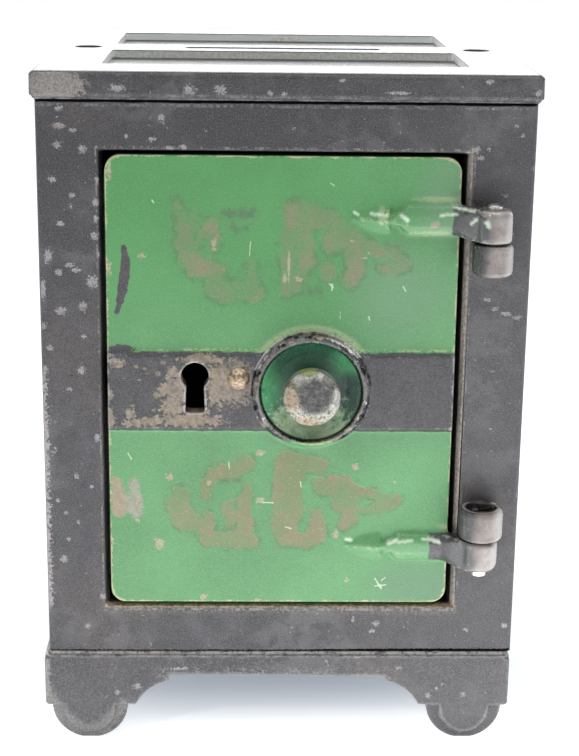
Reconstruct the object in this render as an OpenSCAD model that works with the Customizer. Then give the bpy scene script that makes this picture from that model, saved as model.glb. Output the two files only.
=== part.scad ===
// Cast-iron safe coin bank: bolted box, hinged door with a key lock, coin slot in the top.
// X is to the right, Y goes from the front to the back and Z is up, in millimetres.
// The origin is on the floor, in the middle of the whole outline seen from above.

/* [Body] */
// Width of the body across the front
body_w = 100; // [92:0.5:120]
// Depth of the body, front face to back face
body_d = 101; // [92:0.5:120]
// Height of the body between the base and the top plate
body_h = 118.7; // [116:0.1:130]
// Thickness of the front, side and back castings
wall = 3.2; // [3:0.1:3.6]
// Rounding of the upright corner edges
corner_r = 1.2; // [0.6:0.1:2]
// Depth of the tongues that key the side castings to the front and back
tongue_d = 1.2; // [0.8:0.1:1.6]
// Thickness of those tongues
tongue_t = 1.4; // [1:0.1:1.8]
// Clearance between castings that slot together
cast_gap = 0.3; // [0.1:0.05:0.4]
// Border left round the sunk panel of a side or back casting
side_border = 13; // [9:0.5:20]
// Depth of that sunk panel
side_sink = 0.9; // [0.4:0.1:1.4]
// Corner radius of the sunk panels
sink_r = 2.5; // [1:0.5:6]

/* [Top plate] */
// Thickness of the top plate at its edge
top_t = 5.4; // [5:0.1:7]
// Overhang of the top plate past the body on every side
top_over = 1; // [0.5:0.1:2]
// Rounding of the top plate's edges
top_edge_r = 1.3; // [0.6:0.1:2]
// Border left at the ends of the two sunk panels, left and right
panel_side = 13.3; // [13:0.1:20]
// Border left in front of the front panel and behind the rear one
panel_end = 14.65; // [12:0.05:18]
// Depth of the sunk panels
panel_sink = 1.8; // [1:0.1:2.4]
// Width of the bar between them, which carries the coin slot
bar_w = 14.5; // [11:0.5:16]
// Length of the coin slot
slot_l = 43.8; // [30:0.1:60]
// Width of the coin slot
slot_w = 3; // [2.4:0.1:4]
// Height of the locating ribs under the top plate and on the base
rib_h = 2.6; // [1.5:0.1:4]
// Thickness of those ribs
rib_t = 2; // [1.4:0.1:3]

/* [Base and feet] */
// How far the base stands out past the body on every side
base_over = 0.4; // [0.4:0.1:1.5]
// Sideways set of the base under the body, as it is bolted up
base_shift = -0.6; // [-1:0.1:1]
// Height of the base's apron between the feet
apron_h = 5.5; // [5.5:0.1:6]
// Thickness of the apron
apron_t = 3; // [2:0.1:3.6]
// Height of the narrow bead along the base's top edge
bead_h = 1; // [0.8:0.1:2]
// How far that bead is set in from the apron
bead_in = 0.6; // [0.4:0.1:1.2]
// Height of the seam above the floor
foot_h = 20.7; // [18:0.1:24]
// Diameter of the wheel shape of a foot
wheel_d = 16.4; // [14:0.1:17]
// Length of the wheel shape, front to back
wheel_l = 8; // [5:0.5:12]
// Setting-in of the wheel from the bracket's outer edge
wheel_in = 1.4; // [0.8:0.1:2]
// How far the bracket stands proud of the wheel, front and back
fork_proud = 0.7; // [0.3:0.1:1.2]
// Width of the tongue that hangs down over the wheel
fork_w = 10.6; // [7:0.1:12]
// Distance from the wheel's centre to the tongue's round end
fork_drop = 6.5; // [5.5:0.1:7]
// Flat ground under each wheel so that it stands steady
foot_flat = 0.1; // [0.1:0.05:0.5]
// Distance from the base's outer edge to the cusp of the bracket
bracket_l = 26.9; // [24:0.1:30]
// Drop of the cusp below the apron
cusp_h = 1.3; // [0.8:0.1:2]
// Length of the bracket's flat toe inside the wheel
toe_l = 1.7; // [1.6:0.1:4]
// Depth of the toe below the seam
toe_z = 12.6; // [11:0.1:14]
// Radius of the bracket's curve from cusp to toe
bracket_r = 10.5; // [8:0.1:20]

/* [Front frame] */
// Width of the frame left of the opening
stile_left = 12.4; // [11:0.1:14]
// Width of the frame right of the opening
stile_right = 12.9; // [12.6:0.1:14]
// Height of the frame above the opening
rail_top = 10.1; // [8:0.1:12]
// Height of the frame below the opening
rail_bottom = 10.3; // [8:0.1:12]
// Draft of the opening, by which each side closes in at the back
opening_draft = 0.7; // [0.3:0.1:0.7]
// Reach of the door stop into the opening
stop_reach = 3; // [2:0.1:4]
// Thickness of the door stop
stop_t = 1.8; // [1.2:0.1:2.4]
// Width of the door stop's seat on the frame
stop_seat = 4; // [3:0.1:5]

/* [Door] */
// Thickness of the door casting
door_t = 3.4; // [3.3:0.05:3.8]
// Gap at the left of the door
gap_left = 1.2; // [1.1:0.1:1.6]
// Gap at the hinge side of the door
gap_right = 1.9; // [1.2:0.1:2.2]
// Gap above the door
gap_top = 1; // [1:0.1:1.5]
// Gap below the door
gap_bottom = 1.1; // [1:0.1:1.6]
// Corner radius of the door
door_r = 3.2; // [2:0.1:5]
// Height of the raised band across the door
band_w = 17; // [13:0.1:20]
// Height of the band's middle above the seam
band_z = 58.6; // [56:0.1:61]
// How far the band stands proud
band_proud = 0.8; // [0.4:0.1:1.2]
// Gap between the shut door and its stop
stop_gap = 0.2; // [0.1:0.05:0.4]

/* [Boss and knob] */
// Distance of the boss to the right of the body's middle
boss_x = 5.6; // [3:0.1:8]
// Height of the lock's centre line above the seam
lock_z = 59; // [58:0.1:61]
// Outer diameter of the boss
boss_d = 24.4; // [23.4:0.1:27]
// Diameter of the dish inside the boss
dish_d = 21.5; // [18:0.1:21.5]
// How far the rim of the boss stands proud
boss_proud = 2.2; // [1.6:0.1:3]
// Depth of the dish's floor behind the door's face
dish_deep = 1.2; // [0.6:0.1:1.5]
// Diameter of the dish's flat floor
floor_d = 12.6; // [12:0.1:14]
// Diameter of the knob
knob_d = 12.1; // [10:0.1:13]
// Diameter of the knob's flat face
knob_face_d = 6.4; // [5:0.1:7.5]
// How far the knob's face stands proud of the door
knob_proud = 8; // [6.5:0.1:8.5]
// Length of the knob's chamfered front
knob_chamfer = 2.2; // [1:0.1:3]
// Length of the knob's round edge behind the chamfer
knob_edge = 1.7; // [1:0.1:3]
// How far that edge tapers in towards the front, in diameter
knob_taper = 0.4; // [0:0.1:0.8]
// Set of the face to the right of the knob's axis, as it was filed
face_right = 0.4; // [0:0.1:0.6]
// Set of the face above the knob's axis
face_up = 0.9; // [0:0.1:1]
// Diameter of the stalk behind the knob
stalk_d = 9; // [8:0.1:10.5]
// Diameter of the knob's shank
shank_d = 4; // [3:0.1:4.6]
// Diameter of the washer on the knob's shank
knob_washer_d = 8.4; // [7:0.1:10]

/* [Hinges] */
// Distance of the hinge axis from the body's right edge
hinge_in = 8.5; // [8:0.1:9]
// Distance of the hinge axis in front of the body
hinge_out = 4.1; // [4.1:0.1:5]
// Diameter of the hinge pins
pin_d = 3.2; // [2.4:0.1:3.6]
// Radial clearance of a pin in the door's knuckle
pin_gap = 0.05; // [0.02:0.01:0.1]
// Diameter of the door's knuckles
door_knuckle_d = 7.6; // [6.6:0.1:7.8]
// Height of the door's knuckles
door_knuckle_h = 6.9; // [6.2:0.1:8]
// Diameter of the frame's upper knuckle
upper_knuckle_d = 8.2; // [7:0.1:9]
// Height of the frame's upper knuckle
upper_knuckle_h = 6.4; // [5:0.1:8]
// Diameter of the frame's lower knuckle
lower_knuckle_d = 9.2; // [8:0.1:9.6]
// Height of the frame's lower knuckle
lower_knuckle_h = 6.7; // [6:0.1:8]
// Gap between the knuckles of a hinge
knuckle_gap = 0.35; // [0.2:0.05:0.6]
// Diameter of the open mouth on the lower knuckle
mouth_d = 6.2; // [4:0.1:7]
// Depth of that mouth
mouth_h = 2.4; // [1:0.1:2.4]
// Rounding of the knuckles' free ends
knuckle_r = 1.3; // [0.6:0.1:1.6]
// Rounding of the lower end of the door's lower knuckle
heel_r = 1.9; // [1:0.1:2]
// Metal left under the upper pin in its blind hole
pin_floor = 1.2; // [0.8:0.1:2]
// How far a pin's end stands out of the door's knuckle
pin_out = 0.5; // [0.2:0.1:0.8]
// Height of the upper strap's middle above the seam
upper_strap_z = 95; // [88:0.1:98]
// Height of the lower strap's middle above the seam
lower_strap_z = 24.6; // [22:0.1:32]
// Distance of each door knuckle's middle below its strap's middle
knuckle_drop = 0.25; // [0:0.05:1]
// Height of a strap across its reeded body
strap_w = 6; // [5:0.1:6.6]
// How far a strap stands proud of the door
strap_proud = 1.6; // [1:0.1:2]
// Distance from the hinge axis to a strap's pointed tip
strap_l = 28.1; // [24:0.1:32]
// Length of the spear head
spear_l = 7.7; // [6:0.1:9]
// Height across the spear head
spear_w = 5.5; // [4:0.1:6]
// Length of the neck between spear head and strap
neck_l = 3.4; // [2.8:0.1:5]
// Diameter of the bead on the neck
bead_d = 2.3; // [2:0.1:3]

/* [Lock] */
// Travel of the bolt
bolt_throw = 4; // [3.5:0.1:4]
// Thickness of the bolt
bolt_t = 1.6; // [1.2:0.1:1.8]
// Height of the bolt's bar
bolt_w = 9.2; // [9:0.1:10]
// Height of the bar's middle above the lock's centre line
bolt_up = 1; // [0.8:0.1:1.2]
// Distance of the bolt's nose inside the door's left edge when drawn back
nose_in = 1.6; // [1.2:0.1:1.6]
// Metal round the arch over the keyhole
arch_t = 3; // [2:0.1:3.4]
// Depth of the arch's legs below the lock's centre line
leg_drop = 6; // [5:0.1:8]
// Clearance of the bolt to the door and to what guides it
slide_gap = 0.1; // [0.06:0.01:0.15]
// Distance from the knob's axis to the keyhole
key_back = 24; // [24:0.1:26]
// Height of the keyhole's round part above the lock's centre line
key_up = 3; // [1:0.1:3.4]
// Diameter of the keyhole's round part
key_d = 5.7; // [4.5:0.1:5.8]
// Width of the keyhole's stem at the bottom
stem_w = 4; // [3:0.1:4.2]
// Length of the keyhole's stem from the round part's centre
stem_l = 7.9; // [6:0.1:8.5]
// Distance from the knob's axis to the guide rivet
rivet_back = 15; // [14.8:0.1:15.2]
// Height of the guide rivet above the lock's centre line
rivet_up = 2.5; // [1.5:0.1:2.6]
// Diameter of the guide rivet's shank
rivet_d = 2.4; // [2:0.1:2.6]
// Diameter of the rivet's domed head
rivet_head_d = 4.6; // [4:0.1:4.8]
// Height of that head
rivet_head_h = 1.2; // [0.8:0.1:1.6]
// Diameter of the washer under the rivet's peened end
rivet_washer_d = 6.4; // [5:0.1:7]
// Thickness of both washers
washer_t = 0.8; // [0.5:0.1:1.2]
// Height of the peened ends of rivet and shank
peen_h = 1; // [0.6:0.1:1.4]
// Thickness of the leaf spring
leaf_t = 0.5; // [0.4:0.05:0.7]
// Width of the leaf spring, front to back
leaf_w = 2.4; // [1.6:0.1:3]
// Inner radius of the spring's bowed blade
leaf_r = 26; // [22:0.5:32]
// Angle that the blade sweeps
leaf_sweep = 46; // [36:1:50]
// Diameter of the pin that the spring is coiled on
spring_pin_d = 2.2; // [1.8:0.1:2.6]
// Depth of the spring pin's hole in the door
spring_pin_seat = 2; // [1.4:0.1:2.4]

/* [Tie screws] */
// Distance of each tie screw from the body's side face
tie_in = 6.4; // [6.3:0.1:7]
// Diameter of the tie screws
tie_d = 3.2; // [2.6:0.1:3.6]
// Diameter of the screw heads
tie_head_d = 5.6; // [5:0.1:6]
// Height of the screw heads
tie_head_h = 1.8; // [1.4:0.1:2.2]
// Depth of a head below the top plate's face
tie_sunk = 0.5; // [0.2:0.1:0.8]
// Width of the driver slot in a head
driver_slot = 0.9; // [0.6:0.1:1.2]
// Radial clearance round the tie screws
tie_gap = 0.2; // [0.1:0.05:0.4]
// Width across the square nuts
nut_w = 6; // [5.4:0.1:6.2]
// Thickness of the square nuts
nut_t = 2; // [1.6:0.1:2.2]

/* [Hidden] */
$fn = 64;
// Overrun of cuts past the face that they open
cut = 1;
// Overlap that joins two shapes of one piece
lap = 0.1;
// Fit of a pin or rivet that is driven into its hole
tight = 0.01;
// Thin lip of the base under its bead, and the rounding of bead and lip
lip_t = 0.8;
bead_soft = 0.6;
lip_soft = 0.3;
// Corner radius of the top plate's sunk panels
panel_r = 0.8;
// Rounding of a foot's outer corner
toe_r = 0.9;
// How much rounder the top plate's corners are than the body's
top_corner_more = 0.4;
// Distance of the door stops' ends from the opening's, and their room round the bolt
stop_end = 6;
stop_room = 1.5;
// Slope at the edges of the raised band and at the rim of the boss
band_slope = 0.6;
rim_slope = 0.9;
// Shape of the dish: its floor's rounded edge, the turn of its side, and its steep lip
dish_ease = 1.2;
dish_ease_h = 0.3;
dish_side = 1.6;
dish_side_h = 0.2;
dish_lip = 0.5;
dish_lip_h = 1.1;
// Share of a strap's height from its middle to the crown's edge, and of its depth at the shoulder
crown_part = 0.2;
shoulder_part = 0.4;
// How far the straps are sunk into the door's face, and how far their roots start inside its edge
strap_sunk = 0.3;
root_in = 1.7;
// Pointed start of a strap's body: length, and height and depth share at the point
nose_l = 2.2;
nose_h = 1.2;
nose_part = 0.8;
// Neck: height, its depth share, the bead's place along it and the bead's depth share
neck_h = 1.6;
neck_part = 0.5;
bead_at = 0.62;
bead_part = 0.75;
// Spear head: length of its heel, place and share of its belly, and size of its blunt tip and edges
heel_l = 1.3;
belly_l = 4.6;
belly_part = 0.36;
tip_t = 0.3;
edge_out = 0.15;
// Share of a knuckle's width that its web or root takes, and how far a web is sunk in the frame
web_part = 0.88;
root_part = 0.6;
web_in = 0.5;
// Height of the domed end of the lower pin, and its distance below the mouth
pin_dome = 0.4;
// Width of the keyhole's stem at its top, as a share of the width at its bottom
stem_part = 0.86;
// Length of the bolt past its right-hand slot
bolt_tail = 3;
// Height of the spring pin's head as a share of a peened end
head_part = 0.8;
// How much wider a peened end is than its shank
peen_over = 1.2;
rivet_peen_over = 1.8;

// The furthest piece in front of the body sets where its front face lies
front_reach = max(knob_proud, hinge_out + lower_knuckle_d / 2);
front_y = (front_reach - body_d - top_over) / 2;
mid_y = body_d / 2;

// Outline of the base and of the top plate, and the size of the top plate's sunk panels
base_w = body_w + 2 * base_over;
base_d = body_d + 2 * base_over;
top_w = body_w + 2 * top_over;
top_d = body_d + 2 * top_over;
panel_w = top_w - 2 * panel_side;
panel_d = (top_d - bar_w) / 2 - panel_end;

// Distance of each tie screw from the middle
tie_x = body_w / 2 - tie_in;

// Opening at the frame's front face, measured from the body's middle and the seam
open_left = -body_w / 2 + stile_left;
open_right = body_w / 2 - stile_right;
open_low = rail_bottom;
open_high = body_h - rail_top;

// Outline of the door
door_left = open_left + gap_left;
door_right = open_right - gap_right;
door_low = open_low + gap_bottom;
door_high = open_high - gap_top;

// Lock
key_x = boss_x - key_back;
key_z = lock_z + key_up;
rivet_x = boss_x - rivet_back;
bolt_y = door_t + slide_gap;
washer_y = bolt_y + bolt_t + 2 * slide_gap;
arch_r = key_d / 2 + bolt_throw / 2 + 2 * slide_gap;
arch_x = key_x + bolt_throw / 2;
nose_x = door_left + nose_in;
rivet_z = lock_z + rivet_up;
bolt_end = boss_x + bolt_throw + shank_d / 2 + bolt_tail;
bolt_z = lock_z + bolt_up;
bolt_top = bolt_z + bolt_w / 2;

// Hinges
hinge_x = body_w / 2 - hinge_in;
knuckle_low = -knuckle_drop - door_knuckle_h / 2;
upper_low = upper_strap_z + knuckle_low;
upper_top = upper_low + door_knuckle_h;
lower_low = lower_strap_z + knuckle_low;
lower_top = lower_low + door_knuckle_h;
frame_upper_top = upper_low - knuckle_gap;
frame_lower_low = lower_top + knuckle_gap;
frame_lower_top = frame_lower_low + lower_knuckle_h;

// Feet, measured from the base's own middle
foot_x = base_w / 2 - wheel_in - wheel_d / 2;
foot_z = -foot_h + wheel_d / 2 - foot_flat;
foot_y = (body_d - base_d) / 2;

// Moves a piece from the body's own zero (front face, seam) to the frame of the whole bank.
module on_body() {
    translate([0, front_y, foot_h]) children();
}

// Stands a flat outline up in the front plane: its height is Z and it grows towards the back.
module upright(depth) {
    translate([0, depth, 0]) rotate([90, 0, 0]) linear_extrude(depth) children();
}

// Rectangle with round corners, centred.
module round_rect(w, h, r) {
    square([w - 2 * r, h], center = true);
    square([w, h - 2 * r], center = true);
    for (x = [-1, 1], y = [-1, 1]) {
        translate([x * (w / 2 - r), y * (h / 2 - r)]) circle(r);
    }
}

// Slab with its edges rounded all round, centred across and standing on z = 0.
module round_slab(w, d, t, side_r, edge_r) {
    intersection() {
        linear_extrude(t) round_rect(w, d, side_r);
        translate([0, d / 2, t / 2]) rotate([90, 0, 0]) linear_extrude(d) round_rect(w, t, edge_r);
        translate([-w / 2, 0, t / 2]) rotate([90, 0, 90]) linear_extrude(w) round_rect(d, t, edge_r);
    }
}

// Square ring, centred, standing on z = 0.
module ring_rib(w, d, t, h) {
    linear_extrude(h) difference() {
        square([w, d], center = true);
        square([w - 2 * t, d - 2 * t], center = true);
    }
}

// Dome on a flat base, for rivet heads and peened ends. It rises along +Z.
module dome(d, h) {
    ball = (d * d / 4 + h * h) / (2 * h);
    intersection() {
        translate([0, 0, h - ball]) sphere(ball);
        cylinder(d = d, h = h);
    }
}

// Upright barrel with one rounded end.
module knuckle(d, h, r, round_top) {
    flip = round_top ? 0 : 1;
    translate([0, 0, flip * h]) mirror([0, 0, flip]) rotate_extrude() {
        square([d / 2, h - r]);
        square([d / 2 - r, h]);
        translate([d / 2 - r, h - r]) circle(r);
    }
}

// Centre of the circle of radius r that passes through a and b, on the side away from the metal.
function arc_centre(a, b, r) =
    let (mid = (a + b) / 2, run = b - a, half = norm(run) / 2)
    mid + sqrt(r * r - half * half) * [-run[1], run[0]] / norm(run);

// One foot's outline, seen from the front: bracket, toe and the tongue over the wheel.
module foot_outline() {
    outer = base_w / 2;
    cusp = [outer - bracket_l, -apron_h - cusp_h];
    toe = [foot_x - wheel_d / 2 - toe_l, -toe_z];
    tongue_low = foot_z - fork_drop + fork_w / 2;
    difference() {
        translate([outer - bracket_l, -toe_z]) square([bracket_l, toe_z - bead_h - lip_t]);
        translate(arc_centre(toe, cusp, bracket_r)) circle(bracket_r, $fn = 128);
        translate([outer - toe_r, -toe_z]) difference() {
            translate([0, -cut]) square([toe_r + cut, toe_r + cut]);
            translate([0, toe_r]) circle(toe_r);
        }
    }
    translate([foot_x - fork_w / 2, tongue_low]) square([fork_w, -apron_h - tongue_low]);
    translate([foot_x, tongue_low]) circle(d = fork_w);
}

// A caster-wheel foot with its bracket, at the right front corner of the base.
module foot() {
    plate_l = wheel_l + 2 * fork_proud;
    difference() {
        union() {
            upright(plate_l) foot_outline();
            translate([foot_x, fork_proud, foot_z]) rotate([-90, 0, 0]) cylinder(d = wheel_d, h = wheel_l);
        }
        translate([0, -cut, -foot_h - wheel_d]) cube([base_w, plate_l + 2 * cut, wheel_d]);
    }
}

module base_plate() {
    bead_w = base_w - 2 * bead_in;
    bead_l = base_d - 2 * bead_in;
    skirt = apron_h - bead_h;
    rib_w = body_w - 2 * (wall + cast_gap);
    rib_d = body_d - 2 * (wall + cast_gap);
    color("#4a484c") on_body() difference() {
        union() {
            translate([base_shift, mid_y, 0]) {
                translate([0, 0, lap - bead_h - lip_t]) {
                    round_slab(bead_w, bead_l, bead_h + lip_t - lap, corner_r, bead_soft);
                }
                translate([0, 0, -bead_h - lip_t]) round_slab(base_w, base_d, lip_t, corner_r, lip_soft);
                translate([0, 0, -apron_h]) linear_extrude(skirt - lip_t / 2) difference() {
                    round_rect(base_w, base_d, corner_r);
                    square([base_w - 2 * apron_t, base_d - 2 * apron_t], center = true);
                }
                translate([0, 0, -wall]) linear_extrude(wall - bead_h) {
                    square([base_w - apron_t, base_d - apron_t], center = true);
                }
            }
            translate([0, mid_y, -lap]) ring_rib(rib_w, rib_d, rib_t, rib_h + lap);
            for (side = [0, 1], end = [0, 1]) {
                translate([base_shift, mid_y, 0]) mirror([side, 0, 0]) mirror([0, end, 0]) {
                    translate([0, foot_y - mid_y, 0]) foot();
                }
            }
        }
        for (side = [-1, 1]) {
            translate([side * tie_x, mid_y, -wall - cut]) {
                cylinder(d = tie_d + 2 * tie_gap, h = wall + rib_h + 2 * cut);
            }
        }
    }
}

module top_plate() {
    rib_w = body_w - 2 * (wall + cast_gap);
    rib_d = body_d - 2 * (wall + cast_gap);
    color("#5b595d") on_body() translate([0, mid_y, body_h]) difference() {
        union() {
            round_slab(top_w, top_d, top_t, corner_r + top_corner_more, top_edge_r);
            translate([0, 0, -rib_h]) ring_rib(rib_w, rib_d, rib_t, rib_h + cut);
        }
        for (end = [-1, 1]) {
            translate([0, end * (bar_w + panel_d) / 2, top_t - panel_sink]) {
                linear_extrude(panel_sink + cut) round_rect(panel_w, panel_d, panel_r);
            }
        }
        translate([0, 0, -cut]) linear_extrude(top_t + 2 * cut) {
            round_rect(slot_l, slot_w, slot_w / 2 - lap);
        }
        for (side = [-1, 1]) {
            translate([side * tie_x, 0, -rib_h - cut]) {
                cylinder(d = tie_d + 2 * tie_gap, h = top_t + rib_h + 2 * cut);
            }
            translate([side * tie_x, 0, top_t - tie_head_h - tie_sunk]) {
                cylinder(d = tie_head_d + 2 * tie_gap, h = tie_head_h + tie_sunk + cut);
            }
        }
    }
}

// Tie screw from the top plate down to the nut under the base.
module tie_screw(side) {
    head_z = body_h + top_t - tie_sunk;
    end_z = -wall - nut_t;
    color("#57534d") on_body() translate([side * tie_x, mid_y, 0]) difference() {
        union() {
            translate([0, 0, head_z - tie_head_h]) cylinder(d = tie_head_d, h = tie_head_h);
            translate([0, 0, end_z]) cylinder(d = tie_d, h = head_z - tie_head_h - end_z);
        }
        translate([-tie_head_d, -driver_slot / 2, head_z - tie_head_h / 2]) {
            cube([2 * tie_head_d, driver_slot, tie_head_h]);
        }
    }
}

module tie_nut(side) {
    color("#57534d") on_body() translate([side * tie_x, mid_y, -wall - nut_t]) difference() {
        translate([-nut_w / 2, -nut_w / 2, 0]) cube([nut_w, nut_w, nut_t]);
        translate([0, 0, -cut]) cylinder(r = tie_d / 2 + tight, h = nut_t + 2 * cut);
    }
}

module left_tie_screw() { tie_screw(-1); }
module right_tie_screw() { tie_screw(1); }
module left_tie_nut() { tie_nut(-1); }
module right_tie_nut() { tie_nut(1); }

// Side casting, drawn for the right hand and mirrored for the left.
module side_casting() {
    run = body_d - 2 * wall;
    color("#454347") on_body() difference() {
        union() {
            translate([body_w / 2 - wall, wall, 0]) cube([wall, run, body_h]);
            translate([body_w / 2 - wall / 2 - tongue_t / 2, wall - tongue_d, 0]) {
                cube([tongue_t, run + 2 * tongue_d, body_h]);
            }
        }
        translate([body_w / 2 - side_sink, mid_y, body_h / 2]) rotate([90, 0, 90]) {
            linear_extrude(side_sink + cut) {
                round_rect(run - 2 * side_border, body_h - 2 * side_border, sink_r);
            }
        }
    }
}

module right_side() { side_casting(); }
module left_side() { mirror([1, 0, 0]) side_casting(); }

// Plate at the front or back with rounded outer corners, seen from above: outer face on y = 0.
module end_plate(h) {
    linear_extrude(h) {
        translate([-body_w / 2 + corner_r, 0]) square([body_w - 2 * corner_r, wall]);
        translate([-body_w / 2, corner_r]) square([body_w, wall - corner_r]);
        for (side = [-1, 1]) translate([side * (body_w / 2 - corner_r), corner_r]) circle(corner_r);
    }
}

// Grooves in an end plate that take the tongues of the side castings.
module tongue_grooves() {
    groove_t = tongue_t + 2 * slide_gap;
    groove_d = tongue_d + slide_gap;
    for (side = [-1, 1]) {
        translate([side * (body_w / 2 - wall / 2) - groove_t / 2, wall - groove_d, -cut]) {
            cube([groove_t, groove_d + cut, body_h + 2 * cut]);
        }
    }
}

module back_panel() {
    color("#454347") on_body() translate([0, body_d, 0]) mirror([0, 1, 0]) difference() {
        end_plate(body_h);
        tongue_grooves();
        translate([0, -cut, body_h / 2]) upright(side_sink + cut) {
            round_rect(body_w - 2 * side_border, body_h - 2 * side_border, sink_r);
        }
    }
}

// Tapered cut for the door opening: full size at the front face, smaller by the draft at the back.
module opening_cut() {
    slope = opening_draft / wall;
    near = cut * slope;
    far = (wall + cut) * slope;
    intersection() {
        translate([0, 0, open_low - cut - near]) linear_extrude(open_high - open_low + 2 * (cut + near)) {
            polygon([[open_left - near, -cut], [open_right + near, -cut],
                     [open_right - far, wall + cut], [open_left + far, wall + cut]]);
        }
        translate([-body_w / 2, 0, 0]) rotate([90, 0, 90]) linear_extrude(body_w) {
            polygon([[-cut, open_low - near], [-cut, open_high + near],
                     [wall + cut, open_high - far], [wall + cut, open_low + far]]);
        }
    }
}

// Stop ribs behind the left stile, parted where the bolt passes between them.
module door_stops() {
    inner = open_left + stop_reach;
    outer = open_left - stop_seat;
    bolt_room = bolt_w / 2 + stop_room;
    low = open_low + stop_end;
    high = open_high - stop_end;
    for (span = [[low, bolt_z - bolt_room], [bolt_z + bolt_room, high]]) {
        translate([0, 0, span[0]]) linear_extrude(span[1] - span[0]) {
            polygon([[outer, wall - lap], [open_left, wall - lap], [open_left, door_t + stop_gap],
                     [inner, door_t + stop_gap], [inner, door_t + stop_t], [outer, wall + stop_t]]);
        }
    }
}

// A frame knuckle's seat: the web that ties the barrel to the frame's face.
module knuckle_web(d, h) {
    translate([hinge_x - d * web_part / 2, -hinge_out, 0]) cube([d * web_part, hinge_out + web_in, h]);
}

module front_frame() {
    frame_upper_low = frame_upper_top - upper_knuckle_h;
    color("#4e4c50") on_body() difference() {
        union() {
            difference() {
                end_plate(body_h);
                opening_cut();
            }
            door_stops();
            translate([hinge_x, -hinge_out, frame_upper_low]) {
                knuckle(upper_knuckle_d, upper_knuckle_h, knuckle_r, false);
            }
            translate([0, 0, frame_upper_low + knuckle_r]) {
                knuckle_web(upper_knuckle_d, upper_knuckle_h - knuckle_r);
            }
            translate([hinge_x, -hinge_out, frame_lower_low]) {
                knuckle(lower_knuckle_d, lower_knuckle_h, knuckle_r, true);
            }
            translate([0, 0, frame_lower_low]) knuckle_web(lower_knuckle_d, lower_knuckle_h - knuckle_r);
        }
        tongue_grooves();
        translate([hinge_x, -hinge_out, frame_upper_low + pin_floor]) {
            cylinder(r = pin_d / 2 + tight, h = upper_knuckle_h);
        }
        translate([hinge_x, -hinge_out, frame_lower_low - cut]) {
            cylinder(r = pin_d / 2 + tight, h = lower_knuckle_h + 2 * cut);
        }
        translate([hinge_x, -hinge_out, frame_lower_top - mouth_h]) {
            cylinder(d1 = pin_d, d2 = mouth_d, h = mouth_h + tight);
        }
    }
}

// Upper pin: its foot is driven into the frame's knuckle and its end stands out on top.
module upper_hinge_pin() {
    foot_at = frame_upper_top - upper_knuckle_h + pin_floor;
    color("#8d857b") on_body() translate([hinge_x, -hinge_out, foot_at]) {
        cylinder(d = pin_d, h = upper_top + pin_out - foot_at);
        translate([0, 0, upper_top + pin_out - foot_at]) dome(pin_d, pin_out);
    }
}

// Lower pin: it comes up from below the door's knuckle and ends under the frame knuckle's mouth.
module lower_hinge_pin() {
    end_at = lower_low - 2 * pin_out;
    color("#cfcac0") on_body() translate([hinge_x, -hinge_out, end_at]) {
        cylinder(d = pin_d, h = frame_lower_top - mouth_h - pin_dome - end_at);
        mirror([0, 0, 1]) dome(pin_d, pin_dome);
    }
}

// Cross-section of a strap, drawn as (depth, height): a flat crown between two sloping reeds.
module strap_section() {
    low = strap_w / 2;
    crown = strap_w * crown_part;
    shoulder = strap_proud * shoulder_part;
    polygon([[strap_sunk, -low], [-shoulder, -low], [-strap_proud, -crown],
             [-strap_proud, crown], [-shoulder, low], [strap_sunk, low]]);
}

// Thin slice of the strap, square to its length, with its left face at x.
module strap_slice(x) {
    translate([x, 0, 0]) rotate([90, 0, 90]) linear_extrude(lap) strap_section();
}

// Block of length l, standing from depth out in front of the door to the sunk root, h high, centred.
module strap_block(x, l, out, h) {
    translate([x, -out, -h / 2]) cube([l, out + strap_sunk, h]);
}

// One hinge strap with its spear head, laid from the hinge axis towards the left.
module strap() {
    body_at = strap_l - spear_l - neck_l;
    head_at = strap_l - spear_l;
    root_at = hinge_x - door_right + root_in;
    root_w = door_knuckle_d * root_part;
    // reeded body of the strap
    translate([-body_at, 0, 0]) rotate([90, 0, 90]) linear_extrude(body_at - root_at + lap) {
        strap_section();
    }
    // pointed start of the body, next to the neck
    hull() {
        strap_slice(-body_at);
        strap_block(-body_at - nose_l, lap, strap_proud * nose_part, nose_h);
    }
    // neck with its bead
    strap_block(-head_at, neck_l, strap_proud * neck_part, neck_h);
    translate([-body_at - neck_l * bead_at, strap_sunk, 0]) rotate([90, 0, 0]) {
        cylinder(d = bead_d, h = strap_proud * bead_part + strap_sunk);
    }
    // spear head with a ridge along its middle
    hull() {
        strap_block(-head_at - heel_l, heel_l, edge_out, spear_w);
        strap_block(-head_at - heel_l, heel_l / 2, strap_proud, tip_t);
        strap_block(-head_at - belly_l, tip_t, edge_out, spear_w * 2 * belly_part);
        strap_block(-strap_l, tip_t, tip_t, tip_t);
    }
    // root that leaves the door's face and rises to the knuckle
    hull() {
        strap_slice(-root_at);
        translate([-root_w * root_part, -hinge_out - root_w / 2, knuckle_low]) {
            cube([web_in, root_w + cut, door_knuckle_h]);
        }
    }
}

// Turns a profile drawn as (radius, y) about an axis that runs front to back.
module turned_y() {
    rotate([-90, 0, 0]) rotate_extrude() children();
}

// Cut for the keyhole, from the front of the band through the door.
module keyhole_cut() {
    through = door_t + band_proud + 2 * cut;
    stem_top = stem_w * stem_part;
    translate([0, -band_proud - cut, 0]) upright(through) {
        translate([key_x, key_z]) {
            circle(d = key_d);
            polygon([[-stem_top / 2, 0], [stem_top / 2, 0], [stem_w / 2, -stem_l], [-stem_w / 2, -stem_l]]);
        }
    }
}

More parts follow.
